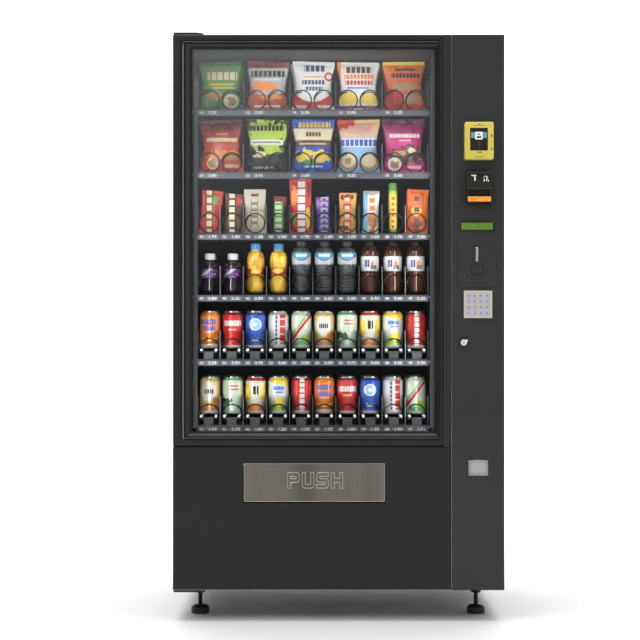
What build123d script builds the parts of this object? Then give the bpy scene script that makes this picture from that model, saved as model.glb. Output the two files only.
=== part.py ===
"""A glass-fronted snack and drink vending machine, built as separate parts.

Millimetres, +Z up, the front faces -Y. The origin is on the floor under the middle of the machine.
Every part is written to its own STEP file in parts/.
"""
import os
from build123d import *

os.makedirs("parts", exist_ok=True)

# ---- driving sizes -------------------------------------------------------------------------
HALF_WIDTH = 514.0          # half the width of the body
BODY_BOTTOM = 97.0          # underside of the cabinet, on its feet
BODY_TOP = 1820.0           # top of the cabinet
CABINET_FRONT = -325.0      # front rim of the cabinet
CABINET_BACK = 438.0        # outside of the back sheet
DOOR_FRONT = -414.0         # front faces of the door
DOOR_BACK = -337.0          # back of the door's steel frame
SKIN = 3.0                  # sheet on the cabinet and the door
WALL = 42.0                 # insulated liner wall
SEAM = 0.05                 # assembly gap between plates that are fixed together

WINDOW = (-454.5, 300.0, 589.0, 1777.0)          # what shows of the glass: left, right, bottom, top
FRAME = (-514.0, 323.6, 545.0, 1820.0)           # outside of the window frame
COLUMN_LEFT = 348.8                              # seam between the window side and the control column
FLAP = (-297.0, 144.5, 367.0, 491.7)             # delivery flap opening

TRAY_LEFT, TRAY_RIGHT = -454.0, 291.6            # outside of every tray
TRAY_FRONT = -200.0                              # back of the price rails
TRAY_REAR = 310.0
RAIL_HEIGHTS = (1601.0, 1399.0, 1202.0, 1004.0, 797.0, 584.0)   # middle of each price rail, top tray first
LANES = (5, 5, 10, 10, 10, 10)                   # product lanes on each tray
PITCHES = (48.0, 48.0, 32.0, 80.0, 80.0, 80.0)   # travel of a product for one turn of the spiral
COIL_RADIUS = 31.0                               # to the middle of the wire
WIRE_RADIUS = 2.15
COIL_FRONT = -184.0                              # where the wire begins
COIL_LENGTH = 480.0
FLOOR_LIFT = 12.0                                # floor of a tray above the middle of its price rail
COIL_LIFT = 34.7                                 # spiral axis above the floor of the tray
ROD_LIFT = 29.5                                  # can rails above the floor of the tray
PAIR_GAP = 35.5                                  # each spiral of a pair from the middle of its lane
CAN_RADIUS = 33.0
CAN_HEIGHT = 122.0
CAN_LANE = 3                                     # the working can lane, counted from the left, from 0
CAN_BASE = 33.8                                  # can base above the floor of the tray

KEY_PITCH_X, KEY_PITCH_Z = 19.4, 18.0
KEY_FIRST = (402.8, 1010.5)
HINGE_X, HINGE_Y = -503.0, -360.0                # the upright hinge line of the door


def slab(x0, x1, y0, y1, z0, z1, mode=Mode.ADD):
    """Adds or cuts a block given by its two faces along X, Y and Z."""
    with Locations(((x0 + x1) / 2, (y0 + y1) / 2, (z0 + z1) / 2)):
        Box(x1 - x0, y1 - y0, z1 - z0, mode=mode)


def rod(x, z, y0, y1, radius, mode=Mode.ADD):
    """Adds or cuts a round bar that runs from front to back."""
    with Locations(Location((x, (y0 + y1) / 2, z), (90, 0, 0))):
        Cylinder(radius, y1 - y0, mode=mode)


def save(builder, name):
    """Labels a finished part and writes its STEP file."""
    builder.part.label = name
    export_step(builder.part, "parts/" + name + ".step")


# ---- cabinet -------------------------------------------------------------------------------
left_in, right_in = -HALF_WIDTH + SKIN, HALF_WIDTH - SKIN
shell_low, shell_high = BODY_BOTTOM + SKIN, BODY_TOP - SKIN
grille_left, grille_right, grille_low, grille_high = -380.0, 380.0, 130.0, 480.0

with BuildPart() as cabinet_shell:
    slab(-HALF_WIDTH, left_in, CABINET_FRONT, CABINET_BACK, BODY_BOTTOM, BODY_TOP)
    slab(right_in, HALF_WIDTH, CABINET_FRONT, CABINET_BACK, BODY_BOTTOM, BODY_TOP)
    slab(left_in + SEAM, right_in - SEAM, CABINET_FRONT, CABINET_BACK, shell_high, BODY_TOP)
    slab(left_in + SEAM, right_in - SEAM, CABINET_FRONT, CABINET_BACK, BODY_BOTTOM, shell_low)
    back_front = CABINET_BACK - SKIN
    slab(left_in + SEAM, right_in - SEAM, back_front, CABINET_BACK, grille_high, shell_high - SEAM)
    slab(left_in + SEAM, right_in - SEAM, back_front, CABINET_BACK, shell_low + SEAM, grille_low)
    slab(left_in + SEAM, grille_left, back_front, CABINET_BACK, grille_low + SEAM, grille_high - SEAM)
    slab(grille_right, right_in - SEAM, back_front, CABINET_BACK, grille_low + SEAM, grille_high - SEAM)
save(cabinet_shell, "cabinet_shell")

liner_left, liner_right = left_in + WALL, right_in - WALL
deck_low, deck_high = 528.0, 558.0
partition_left, partition_right = 300.0, 312.0
ceiling = 1784.0
liner_back = 400.0

with BuildPart() as cabinet_liner:
    slab(left_in + SEAM, liner_left, CABINET_FRONT, back_front - SEAM, shell_low + SEAM, shell_high - SEAM)
    slab(liner_right, right_in - SEAM, CABINET_FRONT, back_front - SEAM, shell_low + SEAM, shell_high - SEAM)
    slab(liner_left + SEAM, liner_right - SEAM, CABINET_FRONT, back_front - SEAM, ceiling, shell_high - SEAM)
    slab(liner_left + SEAM, liner_right - SEAM, liner_back, back_front - SEAM, deck_high, ceiling - SEAM)
    slab(liner_left + SEAM, liner_right - SEAM, -200.0, back_front - SEAM, deck_low, deck_high - SEAM)
    slab(liner_left + SEAM, liner_right - SEAM, -200.0, -180.0, shell_low + SEAM, deck_low - SEAM)
    slab(partition_left, partition_right, -322.0, liner_back - SEAM, deck_high, ceiling - SEAM)
save(cabinet_liner, "cabinet_liner")

with BuildPart() as air_duct:
    slab(-380.0, 220.0, 378.0, liner_back - SEAM, 600.0, 1700.0)
    for height in range(640, 1680, 60):
        slab(-350.0, 190.0, 376.0, 386.0, height, height + 14.0, mode=Mode.SUBTRACT)
save(air_duct, "air_duct")

with BuildPart() as tray_runners:
    for height in RAIL_HEIGHTS:
        top = height + FLOOR_LIFT - 4.4
        slab(liner_left + SEAM, -444.0, -190.0, 372.0, top - 6.0, top)
        slab(282.0, partition_left - SEAM, -190.0, 372.0, top - 6.0, top)
save(tray_runners, "tray_runners")

# ---- cooling unit in the base ----------------------------------------------------------------
with BuildPart() as rear_grille:
    slab(grille_left - 12.0, grille_right + 12.0, CABINET_BACK + SEAM, 450.0, grille_low - 12.0, grille_high + 12.0)
    for height in range(146, 470, 22):
        slab(-360.0, 360.0, CABINET_BACK - 2.0, 452.0, height, height + 12.0, mode=Mode.SUBTRACT)
save(rear_grille, "rear_grille")

with BuildPart() as compressor:
    with BuildSketch(Plane.XY.offset(shell_low + 20.0)):
        with Locations((200.0, 150.0)):
            Circle(88.0)
    extrude(amount=170.0)
    fillet(compressor.edges().filter_by(GeomType.CIRCLE), radius=28.0)
    for x in (120.0, 260.0):
        slab(x, x + 20.0, 60.0, 240.0, shell_low + SEAM, shell_low + 20.0)
save(compressor, "compressor")

FAN_X, FAN_Z = -150.0, 305.0
with BuildPart() as condenser:
    slab(-320.0, 20.0, 300.0, 350.0, shell_low + SEAM, 480.0)
    rod(FAN_X, FAN_Z, 350.0, 372.0, 34.0)
    rod(FAN_X, FAN_Z, 372.0, 396.0, 4.95)
save(condenser, "condenser")

with BuildPart() as condenser_fan:
    rod(FAN_X, FAN_Z, 376.0, 398.0, 30.0)
    for turn in range(5):
        with Locations(Location((FAN_X, 387.0, FAN_Z), (0, 72.0 * turn, 0))):
            with Locations(Location((75.0, 0, 0), (24.0, 0, 0))):
                Box(100.0, 2.5, 44.0)
    rod(FAN_X, FAN_Z, 376.0, 398.0, 5.0, mode=Mode.SUBTRACT)
save(condenser_fan, "condenser_fan")

with BuildPart() as power_inlet:
    slab(-470.0, -420.0, CABINET_BACK + SEAM, 448.0, 240.0, 275.0)
    slab(-459.0, -431.0, 440.0, 450.0, 248.0, 267.0, mode=Mode.SUBTRACT)
save(power_inlet, "power_inlet")

# ---- feet and door hinges ----------------------------------------------------------------------
FOOT_X, FOOT_FRONT, FOOT_BACK = 440.0, -245.0, 370.0

with BuildPart() as levelling_feet:
    for x in (-FOOT_X, FOOT_X):
        for y in (FOOT_FRONT, FOOT_BACK):
            with Locations((x, y, 95.0 - SEAM)):
                Cylinder(52.0, 4.0)
            with Locations((x, y, 79.0)):
                Cone(14.0, 24.0, 28.0 - 2 * SEAM)
            with Locations((x, y, 46.5)):
                Cylinder(7.0, 37.0 - 2 * SEAM)
            with Locations((x, y, 24.0)):
                Cone(29.0, 22.0, 8.0 - 2 * SEAM)
            with Locations((x, y, 10.0)):
                Cylinder(29.0, 20.0)
save(levelling_feet, "levelling_feet")

with BuildPart() as hinge_brackets:
    plate_outline = ((-513.0, -400.0), (-440.0, -400.0), (-421.0, -381.0), (-421.0, -256.0), (-513.0, -256.0))
    with BuildSketch(Plane.XY.offset(BODY_TOP + 2.0)):
        with BuildLine():
            Polyline(*plate_outline, close=True)
        make_face()
    extrude(amount=7.0)
    slab(-513.0, -421.0, CABINET_FRONT + 1.0, -256.0, BODY_TOP, BODY_TOP + 2.0)
    with Locations((HINGE_X, HINGE_Y, BODY_TOP + 10.0)):
        Cylinder(8.0, 2.0)
    with Locations((HINGE_X, HINGE_Y, BODY_TOP - 8.0)):
        Cylinder(5.0, 34.0)
    slab(-513.0, -421.0, -400.0, -300.0, BODY_BOTTOM - 8.0, BODY_BOTTOM - 2.0)
    slab(-513.0, -421.0, CABINET_FRONT + 1.0, -300.0, BODY_BOTTOM - 2.0, BODY_BOTTOM)
    with Locations((HINGE_X, HINGE_Y, BODY_BOTTOM + 8.0)):
        Cylinder(5.0, 28.0)
save(hinge_brackets, "hinge_brackets")

# ---- door: frame, skins and glass ------------------------------------------------------------
FRAME_FACE = -399.0          # front of the door's steel frame
stile = 40.0
inner_left, inner_right = -HALF_WIDTH + stile + SEAM, HALF_WIDTH - stile - SEAM

with BuildPart() as door_frame:
    slab(-HALF_WIDTH, -HALF_WIDTH + stile, FRAME_FACE, DOOR_BACK, BODY_BOTTOM, BODY_TOP)
    slab(HALF_WIDTH - stile, HALF_WIDTH, FRAME_FACE, DOOR_BACK, BODY_BOTTOM, BODY_TOP)
    slab(inner_left, inner_right, FRAME_FACE, DOOR_BACK, 1790.0, BODY_TOP)
    slab(inner_left, inner_right, FRAME_FACE, DOOR_BACK, BODY_BOTTOM, 127.0)
    slab(inner_left, inner_right, FRAME_FACE, DOOR_BACK, 541.0, 576.0)
    slab(323.0, 349.0, FRAME_FACE, DOOR_BACK, 576.0 + SEAM, 1790.0 - SEAM)
    slab(323.0, 349.0, FRAME_FACE, DOOR_BACK, 127.0 + SEAM, 541.0 - SEAM)
    for z in (BODY_TOP - 13.0, BODY_BOTTOM + 12.0):
        with Locations((HINGE_X, HINGE_Y, z)):
            Cylinder(5.05, 30.0, mode=Mode.SUBTRACT)
save(door_frame, "door_frame")

skin_back = DOOR_FRONT + SKIN
with BuildPart() as door_skin:
    flap_left, flap_right, flap_low, flap_high = FLAP
    slab(-HALF_WIDTH, COLUMN_LEFT - 0.6, DOOR_FRONT, skin_back, BODY_BOTTOM, flap_low)
    slab(-HALF_WIDTH, COLUMN_LEFT - 0.6, DOOR_FRONT, skin_back, flap_high, 540.0)
    slab(-HALF_WIDTH, flap_left, DOOR_FRONT, skin_back, flap_low + SEAM, flap_high - SEAM)
    slab(flap_right, COLUMN_LEFT - 0.6, DOOR_FRONT, skin_back, flap_low + SEAM, flap_high - SEAM)
    slab(FRAME[1] + 0.6, COLUMN_LEFT - 0.6, DOOR_FRONT, skin_back, 540.0 + SEAM, BODY_TOP)
    for x in (-HALF_WIDTH, 323.6):
        slab(x, x + 24.0, skin_back + SEAM, FRAME_FACE - SEAM, BODY_BOTTOM, 540.0)
    slab(FRAME[1] + 0.6, COLUMN_LEFT - 0.6, skin_back + SEAM, FRAME_FACE - SEAM, 545.0, BODY_TOP)
save(door_skin, "door_skin")

with BuildPart() as window_frame:
    frame_back = FRAME_FACE - SEAM
    slab(FRAME[0], WINDOW[0], DOOR_FRONT, frame_back, FRAME[2], FRAME[3])
    slab(WINDOW[1], FRAME[1], DOOR_FRONT, frame_back, FRAME[2], FRAME[3])
    slab(WINDOW[0] + SEAM, WINDOW[1] - SEAM, DOOR_FRONT, frame_back, WINDOW[3], FRAME[3])
    slab(WINDOW[0] + SEAM, WINDOW[1] - SEAM, DOOR_FRONT, frame_back, FRAME[2], WINDOW[2])
save(window_frame, "window_frame")

with BuildPart() as window_glass:
    slab(-472.0, 321.0, FRAME_FACE, FRAME_FACE + 6.0, 578.0, 1788.0)
save(window_glass, "window_glass")

with BuildPart() as door_gasket:
    seal_back = CABINET_FRONT - 0.4
    slab(-507.0, -480.0, DOOR_BACK + SEAM, seal_back, 103.0, 1814.0)
    slab(480.0, 507.0, DOOR_BACK + SEAM, seal_back, 103.0, 1814.0)
    slab(-480.0 + SEAM, 480.0 - SEAM, DOOR_BACK + SEAM, seal_back, 1794.0, 1814.0)
    slab(-480.0 + SEAM, 480.0 - SEAM, DOOR_BACK + SEAM, seal_back, 103.0, 123.0)
save(door_gasket, "door_gasket")

# ---- control column ---------------------------------------------------------------------------
KEYPAD = (387.8, 476.0, 941.0, 1026.0)
BUTTON = (413.0, 448.0, 1078.0, 1100.0)
CUP = (403.0, 463.0, 452.6, 501.6)
LOCK = (387.8, 865.0)

with BuildPart() as control_column:
    bands = (
        (BODY_BOTTOM, CUP[2], None),
        (CUP[2], CUP[3], CUP),
        (CUP[3], KEYPAD[2], None),
        (KEYPAD[2], KEYPAD[3], KEYPAD),
        (KEYPAD[3], BUTTON[2], None),
        (BUTTON[2], BUTTON[3], BUTTON),
        (BUTTON[3], BODY_TOP, None),
    )
    for low, high, hole in bands:
        if hole is None:
            slab(COLUMN_LEFT + 0.6, HALF_WIDTH, DOOR_FRONT, skin_back, low + SEAM, high)
        else:
            slab(COLUMN_LEFT + 0.6, hole[0] - 0.5, DOOR_FRONT, skin_back, low + SEAM, high)
            slab(hole[1] + 0.5, HALF_WIDTH, DOOR_FRONT, skin_back, low + SEAM, high)
    for x in (COLUMN_LEFT + 0.6, HALF_WIDTH - 22.0):
        slab(x, x + 22.0, skin_back + SEAM, FRAME_FACE - SEAM, BODY_BOTTOM + SEAM, BODY_TOP)
    rod(LOCK[0], LOCK[1], DOOR_FRONT - 1.0, skin_back + 1.0, 9.7, mode=Mode.SUBTRACT)
save(control_column, "control_column")

with BuildPart() as card_reader:
    slab(388.7, 478.0, -450.0, DOOR_FRONT - SEAM, 1430.0, 1545.7)
    fillet(card_reader.edges().filter_by(Axis.Y), radius=5.0)
    fillet(card_reader.faces().sort_by(Axis.Y)[0].edges(), radius=3.0)
    slab(405.0, 462.0, -451.0, -446.0, 1457.0, 1526.0, mode=Mode.SUBTRACT)
save(card_reader, "card_reader")

with BuildPart() as bill_validator:
    slab(384.0, 483.6, DOOR_FRONT - 2.0, DOOR_FRONT - SEAM, 1280.0, 1409.0)
    slab(396.0, 471.5, -444.0, DOOR_FRONT - 2.0, 1295.0, 1399.0)
    slab(400.0, 468.0, -446.0, -436.0, 1318.0, 1326.0, mode=Mode.SUBTRACT)
    slab(396.0, 471.5, -446.0, -440.0, 1295.0, 1318.0, mode=Mode.SUBTRACT)
save(bill_validator, "bill_validator")

plate_face = DOOR_FRONT - 2.0
with BuildPart() as service_plate:
    slab(370.0, 491.0, plate_face, DOOR_FRONT - SEAM, 1037.0, 1243.0)
    slab(377.5, 481.0, plate_face - 1.0, DOOR_FRONT + 1.0, 1212.0, 1239.0, mode=Mode.SUBTRACT)
    slab(412.5, 448.5, plate_face - 1.0, DOOR_FRONT + 1.0, 1077.5, 1100.5, mode=Mode.SUBTRACT)
save(service_plate, "service_plate")

with BuildPart() as lcd_display:
    slab(378.0, 480.5, plate_face - 1.0, DOOR_FRONT - SEAM, 1212.5, 1238.5)
    slab(381.0, 477.5, plate_face - 2.0, plate_face, 1215.5, 1235.5, mode=Mode.SUBTRACT)
save(lcd_display, "lcd_display")

with BuildPart() as coin_slot:
    slab(424.4, 432.4, plate_face - 4.0, plate_face - SEAM, 1116.0, 1161.0)
    slab(427.0, 429.8, plate_face - 5.0, plate_face - 1.0, 1122.0, 1155.0, mode=Mode.SUBTRACT)
save(coin_slot, "coin_slot")

with BuildPart() as keypad_plate:
    slab(KEYPAD[0], KEYPAD[1], -418.0, -404.0, KEYPAD[2], KEYPAD[3])
    for row in range(4):
        for column in range(4):
            x = KEY_FIRST[0] + column * KEY_PITCH_X
            z = KEY_FIRST[1] - row * KEY_PITCH_Z
            slab(x - 6.3, x + 6.3, -419.0, -408.0, z - 5.8, z + 5.8, mode=Mode.SUBTRACT)
save(keypad_plate, "keypad_plate")

for number in range(16):
    row, column = divmod(number, 4)
    x = KEY_FIRST[0] + column * KEY_PITCH_X
    z = KEY_FIRST[1] - row * KEY_PITCH_Z
    with BuildPart() as key:
        slab(x - 6.0, x + 6.0, -419.6, -411.0, z - 5.5, z + 5.5)
        fillet(key.faces().sort_by(Axis.Y)[0].edges(), radius=0.8)
    save(key, "key_%02d" % (number + 1))

with BuildPart() as coin_return_button:
    slab(BUTTON[0], BUTTON[1], -421.0, -398.0, BUTTON[2], BUTTON[3])
    fillet(coin_return_button.faces().sort_by(Axis.Y)[0].edges(), radius=2.0)
save(coin_return_button, "coin_return_button")

with BuildPart() as lock_plug:
    rod(LOCK[0], LOCK[1], -422.0, -403.0, 9.6)
    fillet(lock_plug.edges().filter_by(GeomType.CIRCLE).sort_by(Axis.Y)[0], radius=1.2)
    slab(LOCK[0] - 1.0, LOCK[0] + 1.0, -423.0, -419.0, LOCK[1] - 5.0, LOCK[1] + 5.0, mode=Mode.SUBTRACT)
save(lock_plug, "lock_plug")

# ---- coin return cup with its flap ------------------------------------------------------------
with BuildPart() as coin_cup:
    slab(CUP[0], CUP[1], -413.0, -352.0, CUP[2], CUP[2] + 2.0)
    slab(CUP[0], CUP[0] + 2.0, -413.0, -352.0, CUP[2] + 2.0 + SEAM, CUP[3])
    slab(CUP[1] - 2.0, CUP[1], -413.0, -352.0, CUP[2] + 2.0 + SEAM, CUP[3])
    slab(CUP[0] + 2.0 + SEAM, CUP[1] - 2.0 - SEAM, -354.0, -352.0, CUP[2] + 2.0 + SEAM, CUP[3])
save(coin_cup, "coin_cup")

CUP_AXIS_Y, CUP_AXIS_Z = -408.5, 497.0
with BuildPart() as coin_cup_flap:
    slab(CUP[0] + 2.6, CUP[1] - 2.6, -412.5, -409.5, CUP[2] + 3.2, CUP[3] - 1.0)
    with Locations(Location(((CUP[0] + CUP[1]) / 2, CUP_AXIS_Y, CUP_AXIS_Z), (0, 90, 0))):
        Cylinder(2.0, 54.0)
save(coin_cup_flap, "coin_cup_flap")

# ---- delivery flap and bin ---------------------------------------------------------------------
with BuildPart() as delivery_bin:
    slab(-330.0, 180.0, skin_back + SEAM, -215.0, 343.0, 346.0)
    slab(-330.0, 180.0, -218.0, -215.0, 346.0 + SEAM, 440.0)
    slab(-330.0, -327.0, skin_back + SEAM, -218.0 - SEAM, 346.0 + SEAM, 526.0)
    slab(177.0, 180.0, skin_back + SEAM, -218.0 - SEAM, 346.0 + SEAM, 526.0)
save(delivery_bin, "delivery_bin")

FLAP_AXIS_Y, FLAP_AXIS_Z = -407.5, 487.0
with BuildPart() as push_flap:
    slab(FLAP[0] + 0.8, FLAP[1] - 0.8, -413.0, -410.0, FLAP[2] + 0.8, FLAP[3] - 0.8)
    with Locations(Location(((FLAP[0] + FLAP[1]) / 2, FLAP_AXIS_Y, FLAP_AXIS_Z), (0, 90, 0))):
        Cylinder(3.0, 500.0)
save(push_flap, "push_flap")


# ---- trays --------------------------------------------------------------------------------------
def lane_centres(count):
    """Middle of each lane across a tray with this many lanes."""
    width = (TRAY_RIGHT - TRAY_LEFT) / count
    return [TRAY_LEFT + width * (i + 0.5) for i in range(count)]


def build_tray(number, height, count):
    """One sheet-metal tray: floor, price rail, sides, dividers, rear plate and a motor behind each lane."""
    floor = height + FLOOR_LIFT
    with BuildPart() as tray:
        slab(TRAY_LEFT, TRAY_RIGHT, TRAY_FRONT - 12.0, TRAY_FRONT, height - 10.0, height + 10.0)
        slab(TRAY_LEFT, TRAY_RIGHT, TRAY_FRONT + SEAM, TRAY_REAR, floor - 4.0, floor)
        slab(TRAY_LEFT, TRAY_RIGHT, TRAY_REAR - 2.0, TRAY_REAR, floor + SEAM, floor + 78.0)
        width = (TRAY_RIGHT - TRAY_LEFT) / count
        for i in range(count + 1):
            x = TRAY_LEFT + width * i
            left = min(max(x - 0.75, TRAY_LEFT), TRAY_RIGHT - 1.5)
            slab(left, left + 1.5, TRAY_FRONT + SEAM, TRAY_REAR - 2.0 - SEAM, floor + SEAM, floor + 93.0)
        for x in lane_centres(count):
            slab(x - 26.0, x + 26.0, TRAY_REAR + SEAM, TRAY_REAR + 40.0, floor + 8.0, floor + 62.0)
    save(tray, "tray_%d" % number)


def coil_shape(pitch):
    """A wire spiral along Y, closed at the back by the hub that the motor turns."""
    with BuildPart() as spiral:
        with BuildLine() as path:
            Helix(pitch=pitch, height=COIL_LENGTH, radius=COIL_RADIUS, center=(0, 0, 0), direction=(0, 1, 0))
        with BuildSketch(Plane(origin=path.line @ 0, z_dir=path.line % 0)):
            RegularPolygon(WIRE_RADIUS, 6)
        sweep(is_frenet=True)
        rod(0, 0, COIL_LENGTH + 2.2, COIL_LENGTH + 8.0, COIL_RADIUS + 1.5)
    return spiral.part


def build_lane_kit(number, height, count, pitch):
    """The spirals of one tray that stand still here, with the can rails where the lane has them."""
    floor = height + FLOOR_LIFT
    axis = floor + COIL_LIFT
    spiral = coil_shape(pitch)
    pair = (-PAIR_GAP, PAIR_GAP) if count == 5 else (0.0,)
    with BuildPart() as kit:
        for lane, x in enumerate(lane_centres(count)):
            working = number == 5 and lane == CAN_LANE
            if not working:
                for side in pair:
                    with Locations(Location((x + side, COIL_FRONT, axis), (0, -90, 0))):
                        add(spiral)
            if number >= 5:
                slab(x - 15.5, x + 15.5, -199.9, -190.0, floor + SEAM, floor + 21.0)
                slab(x - 30.0, x + 30.0, -199.9, -190.0, floor + 21.0 + SEAM, floor + 25.2)
                for side in (-23.6, 23.6):
                    rod(x + side, floor + ROD_LIFT, -199.9, COIL_FRONT + COIL_LENGTH - 6.0, 4.2)
    save(kit, "tray_%d_lane_kit" % number)


for index in range(6):
    build_tray(index + 1, RAIL_HEIGHTS[index], LANES[index])
    build_lane_kit(index + 1, RAIL_HEIGHTS[index], LANES[index], PITCHES[index])

# ---- the working can lane -----------------------------------------------------------------------
lane_x = lane_centres(10)[CAN_LANE]
lane_floor = RAIL_HEIGHTS[4] + FLOOR_LIFT
lane_coil = coil_shape(PITCHES[4])

with BuildPart() as can_spiral:
    with Locations(Location((lane_x, COIL_FRONT, lane_floor + COIL_LIFT), (0, -90, 0))):
        add(lane_coil)
save(can_spiral, "can_spiral")

with BuildPart() as vend_can:
    with BuildSketch(Plane.XY.offset(lane_floor + CAN_BASE)):
        with Locations((lane_x, COIL_FRONT + PITCHES[4] * 0.75)):
            Circle(CAN_RADIUS)
    extrude(amount=CAN_HEIGHT)
    fillet(vend_can.edges().filter_by(GeomType.CIRCLE), radius=5.0)
save(vend_can, "vend_can")
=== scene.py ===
"""A glass-fronted snack and drink vending machine: the looks, laid over the fixed working model.

Sizes are given in millimetres and turned to metres where a mesh is made. The front faces -Y, +Z is up.
"""
import math
import bpy
import numpy as np
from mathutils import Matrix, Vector


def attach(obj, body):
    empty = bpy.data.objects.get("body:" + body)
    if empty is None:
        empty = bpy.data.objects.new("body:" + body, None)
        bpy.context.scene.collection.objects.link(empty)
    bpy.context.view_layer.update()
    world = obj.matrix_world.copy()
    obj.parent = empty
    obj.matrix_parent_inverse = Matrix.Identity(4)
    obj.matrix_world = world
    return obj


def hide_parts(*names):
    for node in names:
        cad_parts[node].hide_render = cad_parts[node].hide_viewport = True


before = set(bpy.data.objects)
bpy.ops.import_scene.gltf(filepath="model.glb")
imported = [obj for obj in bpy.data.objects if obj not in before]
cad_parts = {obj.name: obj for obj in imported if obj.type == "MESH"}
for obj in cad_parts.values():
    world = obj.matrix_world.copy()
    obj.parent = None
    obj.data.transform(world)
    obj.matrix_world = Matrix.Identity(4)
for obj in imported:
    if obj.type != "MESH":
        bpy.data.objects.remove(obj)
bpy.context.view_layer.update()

# ---- cabinet shell -------------------------------------------------------------------------------
# The outer case is folded sheet steel, spot welded at the corners and powder coated dark grey.
# It is a thin-walled box, open at the front, with softly folded edges.


def rounded_ring(x0, x1, z0, z1, y, corner, steps=5):
    """Points round a rectangle in X and Z at depth y: four quarter circles of the corner radius, joined straight."""
    corner = max(min(corner, (x1 - x0) / 2 - 1e-4, (z1 - z0) / 2 - 1e-4), 1e-3)
    turn = np.linspace(0, np.pi / 2, steps)
    angle = np.concatenate([turn + q * np.pi / 2 for q in range(4)])
    right = np.repeat(np.array([1, 0, 0, 1]), steps)
    upper = np.repeat(np.array([1, 1, 0, 0]), steps)
    cx = np.where(right, x1 - corner, x0 + corner)
    cz = np.where(upper, z1 - corner, z0 + corner)
    return np.stack([cx + corner * np.cos(angle), np.full(angle.shape, float(y)), cz + corner * np.sin(angle)], 1)


def skin(rows, caps=True, loop=False, around=True):
    """A surface through rows of points: square faces between neighbouring rows, with flat ends or closed on itself."""
    rows = np.asarray(rows, float)
    m, n = rows.shape[:2]
    i, j = np.meshgrid(np.arange(m if loop else m - 1), np.arange(n if around else n - 1), indexing="ij")
    near, far = i * n, ((i + 1) % m) * n
    faces = np.stack([near + j, near + (j + 1) % n, far + (j + 1) % n, far + j], -1).reshape(-1, 4).tolist()
    if caps and not loop:
        faces += [list(range(n))[::-1], list(range((m - 1) * n, m * n))]
    return rows.reshape(-1, 3), faces


def gather(shapes):
    """Joins several surfaces into one list of points and faces, each turned so that it faces outwards.

    The sign of the volume under its faces tells which way a closed surface faces."""
    points, faces, count = [], [], 0
    for v, f in shapes:
        a = np.array([v[q[0]] for q in f]); b = np.array([v[q[1]] for q in f])
        c = np.array([v[q[2]] for q in f]); d = np.array([v[q[-1]] for q in f])
        mid = v.mean(0)
        volume = np.einsum("ij,ij->i", a - mid, np.cross(b - mid, c - mid)).sum()
        volume += np.einsum("ij,ij->i", a - mid, np.cross(c - mid, d - mid)).sum()
        faces += [[count + k for k in (q if volume > 0 else q[::-1])] for q in f]
        points.append(v)
        count += len(v)
    return np.concatenate(points), faces


def piece(name, shapes, body, coat, stands_for=(), sharp=32, flat_uv=None, even=True):
    """Makes one object from surfaces in millimetres, smooth but for edges sharper than the given angle.

    Where it is even, big faces count for more in the shading of their corners, so they look flat."""
    v, f = gather(shapes)
    mesh = bpy.data.meshes.new(name)
    mesh.from_pydata((v / 1000).tolist(), [], f)
    mesh.polygons.foreach_set("use_smooth", np.ones(len(mesh.polygons), bool))
    mesh.set_sharp_from_angle(angle=math.radians(sharp))
    if flat_uv is not None:
        x0, x1, z0, z1 = flat_uv
        corner = np.empty(len(mesh.loops), np.int32)
        mesh.loops.foreach_get("vertex_index", corner)
        uv = np.stack([(v[corner, 0] - x0) / (x1 - x0), (v[corner, 2] - z0) / (z1 - z0)], 1)
        mesh.uv_layers.new(name="face").data.foreach_set("uv", uv.ravel())
    mesh.materials.append(coat)
    made = bpy.data.objects.new(name, mesh)
    bpy.context.scene.collection.objects.link(made)
    if even:
        made.modifiers.new("even_shading", "WEIGHTED_NORMAL").keep_sharp = True
    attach(made, body)
    if stands_for:
        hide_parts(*stands_for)
    return made


def start_coat(name, colour, rough, metal=0.0):
    """A material with one main shader, and its node tree, ready for a finish to be added."""
    coat = bpy.data.materials.new(name)
    coat.use_nodes = True
    tree = coat.node_tree
    shader = tree.nodes["Principled BSDF"]
    shader.inputs["Base Color"].default_value = (*colour, 1)
    shader.inputs["Roughness"].default_value = rough
    shader.inputs["Metallic"].default_value = metal
    return coat, tree, shader


def grain(tree, scale, stretch=(1, 1, 1), detail=3.0, source="Object", turn=(0, 0, 0)):
    """Noise laid over the piece at a scale in cells per metre, drawn out along an axis by the stretch."""
    place = tree.nodes.new("ShaderNodeTexCoord")
    turner = tree.nodes.new("ShaderNodeMapping")
    turner.inputs["Scale"].default_value = stretch
    turner.inputs["Rotation"].default_value = turn
    noise = tree.nodes.new("ShaderNodeTexNoise")
    noise.inputs["Scale"].default_value = scale
    noise.inputs["Detail"].default_value = detail
    tree.links.new(place.outputs[source], turner.inputs["Vector"])
    tree.links.new(turner.outputs["Vector"], noise.inputs["Vector"])
    return noise.outputs["Fac"]


def spread(tree, value, low, high, start=0.0, end=1.0):
    """The value, moved from the range start..end to the range low..high."""
    ranger = tree.nodes.new("ShaderNodeMapRange")
    for name, number in (("From Min", start), ("From Max", end), ("To Min", low), ("To Max", high)):
        ranger.inputs[name].default_value = number
    tree.links.new(value, ranger.inputs["Value"])
    return ranger.outputs["Result"]


def tint(tree, amount, first, second):
    """A colour between two others; each may be a plain colour or another node's output."""
    mixer = tree.nodes.new("ShaderNodeMix")
    mixer.data_type = "RGBA"
    for socket, value in ((mixer.inputs[6], first), (mixer.inputs[7], second)):
        if isinstance(value, tuple):
            socket.default_value = (*value, 1)
        else:
            tree.links.new(value, socket)
    if isinstance(amount, float):
        mixer.inputs["Factor"].default_value = amount
    else:
        tree.links.new(amount, mixer.inputs["Factor"])
    return mixer.outputs[2]


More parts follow.
